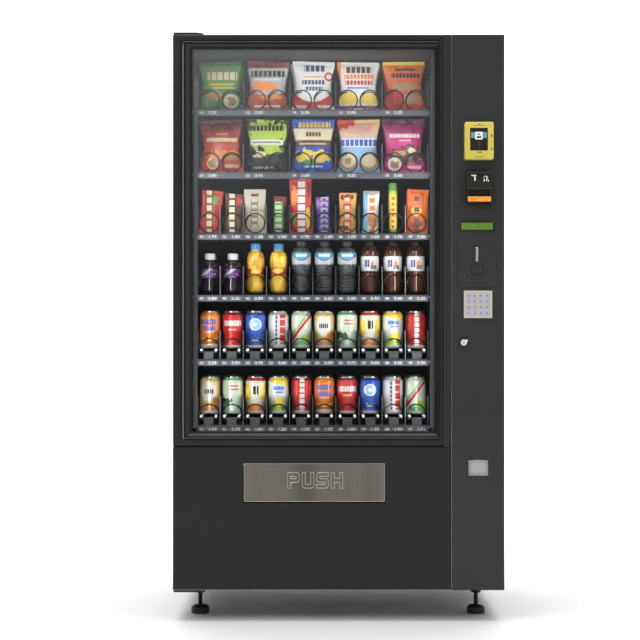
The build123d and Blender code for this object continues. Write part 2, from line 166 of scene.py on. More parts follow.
def raise_surface(tree, shader, height, strength, depth):
    """Turns a height value into a bump on the shader, the depth in metres."""
    bump = tree.nodes.new("ShaderNodeBump")
    bump.inputs["Strength"].default_value = strength
    bump.inputs["Distance"].default_value = depth
    tree.links.new(height, bump.inputs["Height"])
    tree.links.new(bump.outputs["Normal"], shader.inputs["Normal"])


def powder_coat(name, colour, rough=0.42, lift=1.25, peel=0.06):
    """Powder coat: a fine orange-peel bump, slightly uneven gloss, and cloudy changes of tone."""
    coat, tree, shader = start_coat(name, colour, rough)
    shader.inputs["Specular IOR Level"].default_value = 0.3
    cloud = grain(tree, 2.2, detail=4.0)
    lighter = tuple(min(c * lift, 1) for c in colour)
    tree.links.new(tint(tree, spread(tree, cloud, 0.0, 1.0, 0.35, 0.7), colour, lighter), shader.inputs["Base Color"])
    tree.links.new(spread(tree, grain(tree, 9.0, detail=5.0), rough - 0.05, rough + 0.09), shader.inputs["Roughness"])
    raise_surface(tree, shader, grain(tree, 420.0, detail=1.0), peel, 0.0002)
    return coat


case_grey = powder_coat("case_grey_coat", (0.0120, 0.0120, 0.0123), 0.45)


def thin_box(x0, x1, y_front, y_back, z0, z1, corner, wall, edge):
    """A box of even wall, open at the front: the outline is carried forwards, turned in at the rim and carried back."""
    rows = [rounded_ring(x0 + edge, x1 - edge, z0 + edge, z1 - edge, y_back, corner),
            rounded_ring(x0 + edge * 0.3, x1 - edge * 0.3, z0 + edge * 0.3, z1 - edge * 0.3,
                         y_back - edge * 0.3, corner),
            rounded_ring(x0, x1, z0, z1, y_back - edge, corner),
            rounded_ring(x0, x1, z0, z1, y_front + 1, corner),
            rounded_ring(x0 + 1, x1 - 1, z0 + 1, z1 - 1, y_front, corner),
            rounded_ring(x0 + wall, x1 - wall, z0 + wall, z1 - wall, y_front, corner),
            rounded_ring(x0 + wall, x1 - wall, z0 + wall, z1 - wall, y_back - wall, corner)]
    return skin(rows)


HALF_WIDTH, CASE_TOP, CASE_BASE, CASE_BACK = 514, 1820, 97, 438
case = thin_box(-HALF_WIDTH, HALF_WIDTH, -325, CASE_BACK, CASE_BASE, CASE_TOP, corner=7, wall=2.9, edge=4)
piece("cabinet_case", [case], "cabinet", case_grey, ("cabinet_shell",))

# ---- cabinet lining and air duct -----------------------------------------------------------------
# The inside is lined with moulded sheet in mid grey; cold air comes up a duct on the back wall.
# Both are the working model's own parts, so they only get their finish here.


def finish_part(node, coat):
    """Gives one of the working model's parts this material in all its slots."""
    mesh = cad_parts[node].data
    mesh.materials.clear()
    mesh.materials.append(coat)


lining_grey = powder_coat("lining_grey", (0.030, 0.031, 0.033), 0.58, 1.2, 0.015)
for node in ("cabinet_liner", "air_duct"):
    finish_part(node, lining_grey)

# ---- cooling unit, rear grille, inlet and hinges -------------------------------------------------
# A hermetic compressor, a finned condenser and its fan stand in the base behind a louvred steel grille.
# The door hangs on two black steel hinge plates with round pins.


def bare_metal(name, colour, rough, stretch, size=400.0):
    """Brushed metal: fine scratches drawn out along one axis change the gloss and catch the light."""
    coat, tree, shader = start_coat(name, colour, rough, 1.0)
    scratch = grain(tree, size, stretch, 4.0)
    tree.links.new(spread(tree, scratch, rough - 0.1, rough + 0.16), shader.inputs["Roughness"])
    darker = tuple(c * 0.72 for c in colour)
    tree.links.new(tint(tree, spread(tree, scratch, 0, 1, 0.3, 0.7), darker, colour), shader.inputs["Base Color"])
    raise_surface(tree, shader, scratch, 0.25, 0.0002)
    return coat


def moulded(name, colour, rough=0.38, texture=500.0, strength=0.06):
    """Moulded plastic: a fine spark-eroded texture with small changes of gloss and tone."""
    coat, tree, shader = start_coat(name, colour, rough)
    shader.inputs["Specular IOR Level"].default_value = 0.35
    lighter = tuple(min(c * 1.22 + 0.001, 1) for c in colour)
    tree.links.new(tint(tree, grain(tree, 14.0), colour, lighter), shader.inputs["Base Color"])
    tree.links.new(spread(tree, grain(tree, 40.0), rough - 0.06, rough + 0.1), shader.inputs["Roughness"])
    raise_surface(tree, shader, grain(tree, texture, detail=1.0), strength, 0.00015)
    return coat


black_plastic = moulded("black_plastic", (0.009, 0.009, 0.0095))
black_enamel = powder_coat("black_enamel", (0.012, 0.012, 0.013), 0.25)
zinc = bare_metal("zinc_plate", (0.52, 0.53, 0.55), 0.38, (0.2, 1, 1), 160.0)
fins = bare_metal("condenser_fins", (0.55, 0.56, 0.57), 0.4, (6, 1, 0.2), 220.0)
black_steel = powder_coat("black_steel", (0.013, 0.013, 0.014), 0.32)
for node, coat in (("compressor", black_enamel), ("condenser", fins), ("condenser_fan", black_plastic),
                   ("tray_runners", zinc), ("rear_grille", case_grey), ("power_inlet", black_plastic),
                   ("hinge_brackets", black_steel)):
    finish_part(node, coat)


def dome(x, y, z, radius, height, axis="y", facing=-1, rings=4, around=14):
    """A low screw head: circles that shrink as a quarter ellipse rises, closed at its flat foot and small crown."""
    rise = np.linspace(0, np.pi / 2 * 0.92, rings)
    turn = np.linspace(0, 2 * np.pi, around, endpoint=False)
    r = radius * np.cos(rise)[:, None]
    up = np.repeat((height * np.sin(rise))[:, None], around, 1) * facing
    a, b = r * np.cos(turn), r * np.sin(turn)
    if axis == "y":
        return skin(np.stack([x + a, y + up, z + b], -1))
    if axis == "x":
        return skin(np.stack([x + up, y + a, z + b], -1))
    return skin(np.stack([x + a, y + b, z + up], -1))


screw_steel = bare_metal("screw_steel", (0.42, 0.42, 0.43), 0.34, (1, 1, 1), 300.0)
HINGE_X, HINGE_Y, HINGE_TOP = -503, -360, 1828.6
pin_cap = dome(HINGE_X, HINGE_Y, HINGE_TOP, radius=7.5, height=2.2, axis="z", facing=1, rings=4, around=18)
piece("hinge_pin_cap", [pin_cap], "door", screw_steel)
GRILLE_FACE = 450.0 - 2.9
rear_screws = [dome(x, CASE_BACK + 0.1, z, 5.5, 2.8, facing=1) for x in (-480, -240, 0, 240, 480)
               for z in (520, 1160, 1796)]
rear_screws += [dome(x, GRILLE_FACE, z, 4.5, 2.6, facing=1) for x in (-386, 386) for z in (128, 305, 482)]
piece("rear_screws", rear_screws, "cabinet", screw_steel)
RIVET_FOOT = 511.9
side_rivets = [dome(s * RIVET_FOOT, y, z, 4, 2.0, "x", s) for s in (-1, 1) for y in (-300, 410)
               for z in range(150, 1800, 236)]
piece("side_rivets", side_rivets, "cabinet", case_grey)

# ---- levelling feet ------------------------------------------------------------------------------
# Each foot is a turned black pad on a threaded stem, screwed into a pressed cone welded under the base.
# The stem, cone and plate are one turned outline here, and the stem shows its thread.


def turned(outline, x, y, around=28):
    """A turned shape: an outline of radius and height carried round an upright axis, closed at both ends."""
    outline = np.asarray(outline, float)
    turn = np.linspace(0, 2 * np.pi, around, endpoint=False)
    r, z = outline[:, 0][:, None], outline[:, 1][:, None]
    return skin(np.stack([x + r * np.cos(turn), y + r * np.sin(turn), z + 0 * turn], -1))


thread = [(6.6 + 0.5 * (k % 2), 29 + k * 1.25) for k in range(29)]
foot_outline = [(27, 0), (29, 2), (29, 18), (28.2, 20.5), (22, 27), (9, 28.6)] + thread
foot_outline += [(13.5, 65.5), (15, 66.5), (20, 80), (26, 89), (34, 92.2), (50, 93), (51.8, 94), (51.8, 96.9)]
FOOT_X, FOOT_Y = (-440, 440), (-245, 370)
feet = [turned(foot_outline, x, y) for x in FOOT_X for y in FOOT_Y]
piece("feet", feet, "cabinet", black_steel, ("levelling_feet",), sharp=40)

# ---- door: steel frame, lower panel and trim strip -----------------------------------------------
# The door is a welded steel frame skinned with folded, powder-coated sheet. The lower panel has the
# delivery opening cut in it, with a turned-in lip, and a narrow strip of the same sheet runs up to the top.


def folded_sheet(name, x0, x1, z0, z1, y, depth, holes, body, coat, stands_for=(), lip=6.0, bevel=1.4):
    """A flat sheet with rectangular holes and its rim turned back.

    The face is a grid on the holes' edges with the holes' cells left out; the rim and each hole get a strip
    that runs back. Solidify gives it its wall, and a bevel softens its folds."""
    xs = np.unique(np.array([x0, x1] + [h[k] for h in holes for k in (0, 1)], float))
    zs = np.unique(np.array([z0, z1] + [h[k] for h in holes for k in (2, 3)], float))
    gx, gz = np.meshgrid(xs, zs, indexing="ij")
    points = np.stack([gx.ravel(), np.full(gx.size, float(y)), gz.ravel()], 1)
    i, j = np.meshgrid(np.arange(len(xs) - 1), np.arange(len(zs) - 1), indexing="ij")
    a = (i * len(zs) + j).ravel()
    mid_x, mid_z = (xs[i] + xs[i + 1]).ravel() / 2, (zs[j] + zs[j + 1]).ravel() / 2
    keep = np.ones(a.shape, bool)
    for h in holes:
        keep &= ~((mid_x > h[0]) & (mid_x < h[1]) & (mid_z > h[2]) & (mid_z < h[3]))
    a = a[keep]
    faces = np.stack([a, a + len(zs), a + len(zs) + 1, a + 1], 1)
    edge = np.concatenate([faces[:, [0, 1]], faces[:, [1, 2]], faces[:, [2, 3]], faces[:, [3, 0]]])
    key = {tuple(e) for e in edge.tolist()}
    border = np.array([e for e in edge.tolist() if (e[1], e[0]) not in key])
    outer = np.isin(points[:, 0], (x0, x1)) | np.isin(points[:, 2], (z0, z1))
    reach = np.where(outer, depth, lip)
    back = points.copy()
    back[:, 1] += reach
    strips = np.stack([border[:, 1], border[:, 0], border[:, 0] + len(points), border[:, 1] + len(points)], 1)
    mesh = bpy.data.meshes.new(name)
    mesh.from_pydata((np.concatenate([points, back]) / 1000).tolist(), [], np.concatenate([faces, strips]).tolist())
    mesh.materials.append(coat)
    made = bpy.data.objects.new(name, mesh)
    bpy.context.scene.collection.objects.link(made)
    wall = made.modifiers.new("wall", "SOLIDIFY")
    wall.thickness, wall.offset, wall.use_even_offset = 0.0012, -1, True
    soften = made.modifiers.new("soften", "BEVEL")
    soften.width, soften.segments, soften.limit_method, soften.angle_limit = bevel / 1000, 3, "ANGLE", 0.6
    soften.harden_normals = True
    mesh.polygons.foreach_set("use_smooth", np.ones(len(mesh.polygons), bool))
    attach(made, body)
    if stands_for:
        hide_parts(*stands_for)
    return made


door_grey = powder_coat("door_grey_coat", (0.0106, 0.0106, 0.0108), 0.42)
strip_grey = powder_coat("strip_grey_coat", (0.0190, 0.0190, 0.0194), 0.42)
column_grey = powder_coat("column_grey_coat", (0.0255, 0.0255, 0.0262), 0.44)
finish_part("door_frame", case_grey)
DOOR_FACE, DOOR_BASE, SHEET_FOLD = -414, 97.5, 14
PANEL_RIGHT, PANEL_TOP = 347.9, 540
FLAP_HOLE = (-297.0, 144.5, 367.0, 491.7)
folded_sheet("lower_panel", -HALF_WIDTH, PANEL_RIGHT, DOOR_BASE, PANEL_TOP, DOOR_FACE, SHEET_FOLD, [FLAP_HOLE],
             "door", door_grey, ("door_skin",))
folded_sheet("trim_strip", 324.3, PANEL_RIGHT, PANEL_TOP + 1.5, CASE_TOP, DOOR_FACE, SHEET_FOLD, [],
             "door", strip_grey, bevel=0.9)

# ---- door gasket ---------------------------------------------------------------------------------
# A black magnetic rubber gasket is pushed into a groove round the back of the door.
# It is the working model's own part, so it only gets its finish here.
soft_rubber = moulded("gasket_rubber", (0.006, 0.006, 0.006), 0.62)
finish_part("door_gasket", soft_rubber)

# ---- window frame --------------------------------------------------------------------------------
# A satin black moulded surround, mitred at the corners: a flat outer face, a groove, a round bead drawn in a
# lighter grey as a painted highlight, and a slope down to the rubber that holds the glass.


def mitred_frame(outer, inner, profile):
    """A picture frame: each profile point is a rectangle part-way from the outer edge to the inner, at its depth."""
    rows = []
    for share, y in profile:
        x0, x1, z0, z1 = [o + (i - o) * share for o, i in zip(outer, inner)]
        rows.append(rounded_ring(x0, x1, z0, z1, y, 1.2 + 3 * share, 4))
    return skin(rows, loop=True)


FRAME_OUT = (-HALF_WIDTH, 323.6, 545.0, CASE_TOP)
GLASS_IN = (-454.5, 300.0, 589.0, 1777.0)
trim_black = moulded("satin_trim_black", (0.010, 0.010, 0.0105), 0.34, 300.0, 0.015)
frame_profile = [(0.0, -399.2), (0.0, -411.5), (0.03, -413.6), (0.08, -414.2), (0.39, -414.2), (0.42, -413.4),
                 (0.435, -410.0), (0.47, -410.0), (0.485, -413.5), (0.50, -415.6), (0.525, -416.8), (0.555, -416.8),
                 (0.58, -415.6), (0.595, -413.0), (0.60, -409.6), (0.64, -409.6), (0.65, -412.4), (0.67, -413.0),
                 (0.88, -406.0), (0.90, -405.0), (0.90, -399.2)]
piece("window_surround", [mitred_frame(FRAME_OUT, GLASS_IN, frame_profile)], "door", trim_black,
      ("window_frame",), sharp=50)
rubber_profile = [(0.90, -399.2), (0.90, -404.5), (0.93, -406.4), (0.97, -406.2), (1.0, -403.0), (1.0, -399.2)]
# The bead's lighter grey is a painted highlight along its crown, on the top and both sides alike.
bead_painted_highlight = moulded("bead_painted_highlight", (0.055, 0.055, 0.058), 0.16)
bead_profile = [(0.515, -416.7), (0.525, -417.3), (0.54, -417.5), (0.555, -417.3), (0.565, -416.7)]
piece("window_bead", [mitred_frame(FRAME_OUT, GLASS_IN, bead_profile)], "door", bead_painted_highlight,
      sharp=60)
# A pale strip on the left bead only is a painted highlight, where the light falls on that side.
bead_glint = moulded("left_bead_painted_highlight", (0.30, 0.30, 0.31), 0.14)
glint_strip = skin([rounded_ring(-482.8 + s, -481.2 - s, 566 + s, 1790 - s, y, 0.7) for s, y in
                    ((0, -417.0), (0, -417.6), (0.3, -417.9))])
piece("window_bead_left", [glint_strip], "door", bead_glint, sharp=60)
piece("glazing_rubber", [mitred_frame(FRAME_OUT, GLASS_IN, rubber_profile)], "door", soft_rubber,
      sharp=50)

# ---- glass ---------------------------------------------------------------------------------------
# One toughened pane, clear but for a painted reflection, a pale milky share that thickens towards its upper left
# corner, and a mirror that grows towards grazing angles.


def clear_pane(name):
    """Glass as a mix of a see-through shader and a glossy pale one: the share of the second is the Fresnel law
    plus a painted reflection, which rises with height and towards the left."""
    coat, tree, film = start_coat(name, (0.40, 0.405, 0.42), 0.02)
    through = tree.nodes.new("ShaderNodeBsdfTransparent")
    through.inputs["Color"].default_value = (0.97, 0.975, 0.975, 1)
    law = tree.nodes.new("ShaderNodeFresnel")
    law.inputs["IOR"].default_value = 1.16
    place = tree.nodes.new("ShaderNodeTexCoord")
    split = tree.nodes.new("ShaderNodeSeparateXYZ")
    tree.links.new(place.outputs["Object"], split.inputs["Vector"])
    # The rise and side values build a painted reflection: a pale share that grows with height and towards the left.
    rise = spread(tree, split.outputs["Z"], 0.0, 0.125, 1.08, 1.80)
    side = spread(tree, split.outputs["X"], 1.35, 0.60, -0.47, 0.32)
    painted_reflection = tree.nodes.new("ShaderNodeMath")
    painted_reflection.operation = "MULTIPLY"
    tree.links.new(rise, painted_reflection.inputs[0])
    tree.links.new(side, painted_reflection.inputs[1])
    share = tree.nodes.new("ShaderNodeMath")
    share.operation = "ADD"
    tree.links.new(painted_reflection.outputs[0], share.inputs[0])
    tree.links.new(law.outputs["Fac"], share.inputs[1])
    mixer = tree.nodes.new("ShaderNodeMixShader")
    tree.links.new(share.outputs[0], mixer.inputs["Fac"])
    tree.links.new(through.outputs["BSDF"], mixer.inputs[1])
    tree.links.new(film.outputs["BSDF"], mixer.inputs[2])
    tree.links.new(mixer.outputs["Shader"], tree.nodes["Material Output"].inputs["Surface"])
    return coat


finish_part("window_glass", clear_pane("window_pane"))

# ---- control column ------------------------------------------------------------------------------
# A full-height folded panel on the right of the door carries the payment units and the keypad.
# Its left fold catches the light along the seam; a pale strip painted along it, and one along the lower panel's foot,
# stand for that highlight.
COLUMN_LEFT = 349.4
KEYPAD_HOLE = (387.2, 476.6, 940.5, 1026.5)
BUTTON_HOLE = (412.5, 448.5, 1077.5, 1100.5)
CUP_HOLE = (402.5, 463.5, 452.0, 502.2)
folded_sheet("column_panel", COLUMN_LEFT, HALF_WIDTH, DOOR_BASE, CASE_TOP, DOOR_FACE, SHEET_FOLD,
             [KEYPAD_HOLE, BUTTON_HOLE, CUP_HOLE], "door", column_grey, ("control_column",), bevel=1.6)


def rounded_block(x0, x1, y_front, y_back, z0, z1, corner, edge, steps=4):
    """A block with rounded corners and a rounded front edge: outlines that grow as a quarter circle turns."""
    turn = np.linspace(0, np.pi / 2, steps)
    rows = [rounded_ring(x0 + edge * (1 - s), x1 - edge * (1 - s), z0 + edge * (1 - s), z1 - edge * (1 - s),
                         y_front + edge * (1 - c), max(corner - edge * (1 - s) * 0.5, 0.3))
            for s, c in zip(np.sin(turn), np.cos(turn))]
    rows.append(rounded_ring(x0, x1, z0, z1, y_back, corner))
    return skin(rows)


# Two thin pale strips: a painted highlight down the column's left fold and along the lower panel's foot.
edge_highlight_paint = bare_metal("painted_edge_highlight", (0.30, 0.30, 0.31), 0.35, (1, 1, 0.1), 120.0)
column_edge = rounded_block(349.3, 351.1, DOOR_FACE - 1.2, DOOR_FACE, 98.5, 1819, corner=0.5, edge=0.4)
panel_edge = rounded_block(-513, 347.5, DOOR_FACE - 1.0, DOOR_FACE, 97.6, 99.4, corner=0.5, edge=0.4)
piece("column_seam_highlight", [column_edge], "door", edge_highlight_paint)
piece("panel_foot_edge", [panel_edge], "door", edge_highlight_paint)

# ---- card reader ---------------------------------------------------------------------------------
# A yellow moulded payment reader with a black glass window set in its face. Its display shows a blank
# white card on a light blue band, and dim red lamps below.


def tray_block(x0, x1, y_front, y_back, z0, z1, corner, edge, well, depth):
    """A rounded block with a rectangular well in its face: the front outline is carried in, then down to the floor."""
    turn = np.linspace(0, np.pi / 2, 4)
    rows = [rounded_ring(x0, x1, z0, z1, y_back, corner)]
    rows += [rounded_ring(x0 + edge * (1 - c), x1 - edge * (1 - c), z0 + edge * (1 - c), z1 - edge * (1 - c),
                          y_front + edge * (1 - s), corner) for s, c in zip(np.sin(turn), np.cos(turn))]
    rows += [rounded_ring(*well, y_front, 2.5), rounded_ring(*well, y_front + depth, 2.5)]
    return skin(rows)


reader_yellow = moulded("reader_yellow", (0.60, 0.50, 0.085), 0.36)
READER_WELL = (404.5, 459.5, 1457, 1527)
reader_case = tray_block(388.7, 478, -449.4, -414.05, 1430, 1545.7, corner=6, edge=4, well=READER_WELL, depth=2.0)
piece("card_reader_case", [reader_case], "door", reader_yellow, ("card_reader",))


def gloss(name, colour, rough=0.12, glow=0.0):
    """Smooth glossy face, faintly uneven; with a glow it is lit from behind through a cloudy sheet."""
    coat, tree, shader = start_coat(name, colour, rough)
    cloud = grain(tree, 60.0)
    lighter = tuple(min(c * 1.3 + 0.002, 1) for c in colour)
    shade = tint(tree, cloud, colour, lighter)
    tree.links.new(shade, shader.inputs["Base Color"])
    tree.links.new(spread(tree, grain(tree, 120.0), rough, rough + 0.1), shader.inputs["Roughness"])
    if glow:
        tree.links.new(shade, shader.inputs["Emission Color"])
        shader.inputs["Emission Strength"].default_value = glow
    return coat


ink_black = gloss("display_black", (0.008, 0.008, 0.009))
sky_lamp = gloss("display_blue", (0.08, 0.22, 0.28), 0.2, 0.35)
card_white = gloss("display_white", (0.62, 0.62, 0.60), 0.25, 0.2)
lamp_red = gloss("lamp_red", (0.30, 0.012, 0.012), 0.2, 0.2)


def plate(x0, x1, z0, z1, y, thick=0.6, corner=1.0, edge=0.3):
    """A thin flat tile with rounded corners."""
    return rounded_block(x0, x1, y, y + thick, z0, z1, corner, edge, 3)


piece("reader_window", [plate(404.7, 459.3, 1457.2, 1526.8, -447.9)], "door", ink_black)
piece("reader_band", [plate(407.5, 456.5, 1496, 1514, -448.2, 0.3)], "door", sky_lamp)
piece("reader_card", [plate(420, 443.5, 1491, 1515, -448.6, 0.4, 2.0)], "door", card_white)
MARK_FACE = -449.9
reader_marks = [plate(425, 439, 1495.5, 1501.5, -448.9, 0.3, 2.6), plate(428, 436, 1506, 1509, -448.9, 0.3, 1.2),
                plate(424, 444, 1464.5, 1466, -448.6, 0.3)]
reader_marks += [plate(414 + 3 * k, 415.6 + 3 * k, 1461, 1479, -448.3, 0.3) for k in (0, 1, 12, 13)]
reader_marks += [plate(420, 446, 1436.6, 1438, MARK_FACE, 0.3), plate(425, 441, 1451, 1453.4, MARK_FACE, 0.3),
                 plate(469, 472.5, 1499, 1506, MARK_FACE, 0.3, 1.6), plate(469, 472.5, 1459, 1465, MARK_FACE, 0.3, 1.6)]
piece("reader_marks", reader_marks, "door", ink_black)
piece("reader_lamps", [plate(430.5, 433.5, z, z + 3.2, -448.4, 0.4, 1.2) for z in (1463, 1469, 1475, 1481)],
      "door", lamp_red)


def ring_mark(x, z, y, radius, width, start, stop, steps=14):
    """A flat arc of a ring: inner and outer edges carried through an angle, with a little thickness."""
    turn = np.linspace(start, stop, steps)
    profile = [(radius, 0.0), (radius + width, 0.0), (radius + width, 0.3), (radius, 0.3)]
    rows = [[(x + r * math.cos(a), y + d, z + r * math.sin(a)) for r, d in profile] for a in turn]
    return skin(rows)


waves = [ring_mark(433, 1533, MARK_FACE, radius, 1.1, 0.5, math.pi - 0.5) for radius in (2.2, 5.2)]
waves += [plate(x, x + 8, 1533.5, 1535, MARK_FACE, 0.3) for x in (417, 441)]
piece("reader_waves", waves, "door", ink_black)

# ---- bill validator ------------------------------------------------------------------------------
# A black moulded note acceptor on a screwed plate. Its hood leans over the note path; two blank white
# symbols sit on the hood, and an amber strip lights the note slot from below.
olive_black = moulded("validator_black", (0.013, 0.013, 0.009), 0.3)
amber = gloss("amber_lamp", (0.60, 0.22, 0.025), 0.3, 0.45)
validator_base = rounded_block(384, 483.6, -416.4, -414.05, 1280, 1409, 3, 0.8)


def hood(x0, x1, profile, inset=2.0):
    """A moulded hood: a side outline of depth and height carried across in X, drawn in a little at both ends."""
    outline = np.asarray(profile, float)
    mid = outline.mean(0)
    rows = []
    for x, keep in ((x0, 0.0), (x0 + inset * 0.3, 0.7), (x0 + inset, 1.0), (x1 - inset, 1.0),
                    (x1 - inset * 0.3, 0.7), (x1, 0.0)):
        shrink = 1 - (1 - keep) * 0.05
        shape = mid + (outline - mid) * shrink
        rows.append(np.stack([np.full(len(shape), x), shape[:, 0], shape[:, 1]], 1))
    return skin(rows)


hood_outline = [(-416, 1336), (-437, 1336), (-441, 1338), (-443.5, 1342), (-444, 1350), (-441, 1376), (-436, 1392),
                (-431, 1397.5), (-424, 1399), (-416, 1399)]
lower_outline = [(-416, 1295), (-439, 1295), (-442, 1297), (-442.5, 1301), (-440, 1317), (-434, 1318.5), (-430, 1318.5),
                 (-416, 1318.5)]
piece("validator_plate", [validator_base], "door", column_grey)
HOOD_SPAN = (396, 471.5)
validator = [rounded_block(392, 476, -418.2, -414.05, 1288, 1402, 4, 1.5), hood(*HOOD_SPAN, hood_outline),
             hood(*HOOD_SPAN, lower_outline), rounded_block(396.3, 402, -439, -416, 1318, 1337, 1.5, 1),
             rounded_block(465.5, 471.2, -439, -416, 1318, 1337, 1.5, 1),
             rounded_block(401, 466.5, -424, -416, 1326, 1337, 1, 0.5), plate(401, 466.5, 1384, 1386, -441.6, 3.0, 0.6)]
piece("validator_case", validator, "door", olive_black, ("bill_validator",), sharp=45)
piece("validator_lamp", [rounded_block(398.5, 469.5, -443.2, -440, 1300.5, 1316.0, 1.6, 0.7)], "door", amber)
lamp_marks = [plate(405, 428, 1307.6, 1308.8, -443.5, 0.3), plate(455, 459, 1303.6, 1306.0, -443.5, 0.3)]
piece("validator_marks", lamp_marks, "door", ink_black)
# The symbols share the display's white, which glows a little: painted light on marks that have no lamp behind them.
white_marks = [plate(409, 425, 1379, 1382.4, -442.6, 0.5), plate(418, 422, 1364, 1378, -443.9, 0.5),
               ring_mark(416, 1372, -443.6, 5.0, 1.6, -0.4, 1.6), ring_mark(453, 1372, -443.8, 6.0, 1.6, 0.2, 2.9),
               plate(447, 450.5, 1362, 1370, -444.2, 0.5), plate(455, 458, 1363, 1376, -444.0, 0.5),
               plate(460, 463, 1362, 1368, -444.2, 0.5)]
piece("validator_symbols", white_marks, "door", card_white)

# ---- display, coin slot and coin return ----------------------------------------------------------
# One thin plate holds a green lit text display behind its window, a chromed coin slot and the coin
# return push button, which slides in against a spring.
LCD_HOLE = (376.2, 482.8, 1210.2, 1240.8)
folded_sheet("service_plate_face", 370, 491, 1037, 1243, -416, 1.8, [LCD_HOLE, BUTTON_HOLE], "door", column_grey,
             ("service_plate",), lip=1.7, bevel=0.7)


def dotted_lcd(name):
    """A lit text display: a fine dot grid, darker where the cells part, over an uneven green backlight."""
    coat, tree, shader = start_coat(name, (0.16, 0.36, 0.04), 0.25)
    cells = tree.nodes.new("ShaderNodeTexBrick")
    cells.offset = 0.0
    for socket, value in (("Scale", 1.0), ("Mortar Size", 0.0006), ("Brick Width", 0.0056), ("Row Height", 0.0085)):
        cells.inputs[socket].default_value = value
    cells.inputs["Color1"].default_value = (0.085, 0.21, 0.020, 1)
    cells.inputs["Color2"].default_value = (0.13, 0.27, 0.035, 1)
    cells.inputs["Mortar"].default_value = (0.065, 0.16, 0.014, 1)
    place = tree.nodes.new("ShaderNodeTexCoord")
    turner = tree.nodes.new("ShaderNodeMapping")
    turner.inputs["Rotation"].default_value = (math.pi / 2, 0, 0)
    tree.links.new(place.outputs["Object"], turner.inputs["Vector"])
    tree.links.new(turner.outputs["Vector"], cells.inputs["Vector"])
    tree.links.new(cells.outputs["Color"], shader.inputs["Base Color"])
    patches = spread(tree, grain(tree, 70.0), 0.0, 0.35, 0.4, 0.6)
    lit = tint(tree, patches, cells.outputs["Color"], (0.17, 0.27, 0.05))
    tree.links.new(lit, shader.inputs["Emission Color"])
    shader.inputs["Emission Strength"].default_value = 0.2
    return coat


lcd_bezel = [tray_block(376.6, 482.4, -417.9, -414.2, 1210.6, 1240.4, 2, 0.8, (379.6, 478.6, 1214.2, 1236.8), 2.4)]
piece("lcd_bezel", lcd_bezel, "door", ink_black, ("lcd_display",))
piece("lcd_face", [plate(379.8, 478.4, 1214.4, 1236.6, -416.1, 0.4)], "door", dotted_lcd("lcd_green"))
bright = bare_metal("bright_steel", (0.80, 0.80, 0.80), 0.24, (1, 1, 0.2), 260.0)
slot_ring = tray_block(424.4, 432.4, -420, -416.05, 1116, 1161, 3.0, 2.2, (427.2, 429.6, 1121, 1156), 3.6)
piece("coin_slot_ring", [slot_ring], "door", bright, ("coin_slot",))
button = [rounded_block(413.1, 447.9, -421, -398, 1078.1, 1099.9, 3, 2.2), plate(417, 444, 1082, 1084, -421.4, 1.0)]
piece("coin_return_key", button, "return_button", column_grey, ("coin_return_button",))

# ---- keypad --------------------------------------------------------------------------------------
# A brushed metal plate with sixteen metal keys, each lit by a blue lamp in its middle. Each key rides
# in its own square hole and is pushed in about a millimetre.
pad_steel, pad_tree, pad_shader = start_coat("keypad_plate_silver", (0.56, 0.52, 0.46), 0.42, 0.2)
pad_brushing = tint(pad_tree, grain(pad_tree, 160.0, (0.3, 1, 1)), (0.50, 0.465, 0.41), (0.66, 0.62, 0.55))
pad_tree.links.new(pad_brushing, pad_shader.inputs["Base Color"])
pad_tree.links.new(spread(pad_tree, grain(pad_tree, 90.0), 0.34, 0.5), pad_shader.inputs["Roughness"])
KEY_STEP_X, KEY_STEP_Z = 19.4, 18.0
key_x = [402.8 + KEY_STEP_X * k for k in range(4)]
key_z = [1010.5 - KEY_STEP_Z * k for k in range(4)]
blue_lamp = gloss("blue_lamp", (0.02, 0.05, 0.90), 0.3, 1.1)
key_holes = [(x - 6.3, x + 6.3, z - 5.8, z + 5.8) for x in key_x for z in key_z]
folded_sheet("keypad_face", 387.8, 476, 941, 1026, -418.5, 4, key_holes, "door", pad_steel, lip=3.0, bevel=0.4)
finish_part("keypad_plate", pad_steel)
for number in range(16):
    row, column = divmod(number, 4)
    x, z = key_x[column], key_z[row]
    name = "key_%02d" % (number + 1)
    cap = tray_block(x - 6, x + 6, -419.6, -411, z - 5.5, z + 5.5, 2, 0.9, (x - 3.0, x + 3.0, z - 3.0, z + 3.0), 0.6)
    piece(name + "_cap", [cap], name + "_body", pad_steel, (name,))
    piece(name + "_lamp", [dome(x, -419.0, z, 2.9, 0.9, rings=4, around=14)], name + "_body", blue_lamp)

# ---- lock ----------------------------------------------------------------------------------------
# A pale turned lock plug with a key slot, turned a quarter to free the door bolt. It sits in a black
# moulded collar, with a small round shutter beside it.


def turned_y(outline, x, z, around=32):
    """A turned shape on a line that runs front to back: radius and depth carried round it."""
    outline = np.asarray(outline, float)
    turn = np.linspace(0, 2 * np.pi, around, endpoint=False)
    r, y = outline[:, 0][:, None], outline[:, 1][:, None]
    return skin(np.stack([x + r * np.cos(turn), y + 0 * turn, z + r * np.sin(turn)], -1))


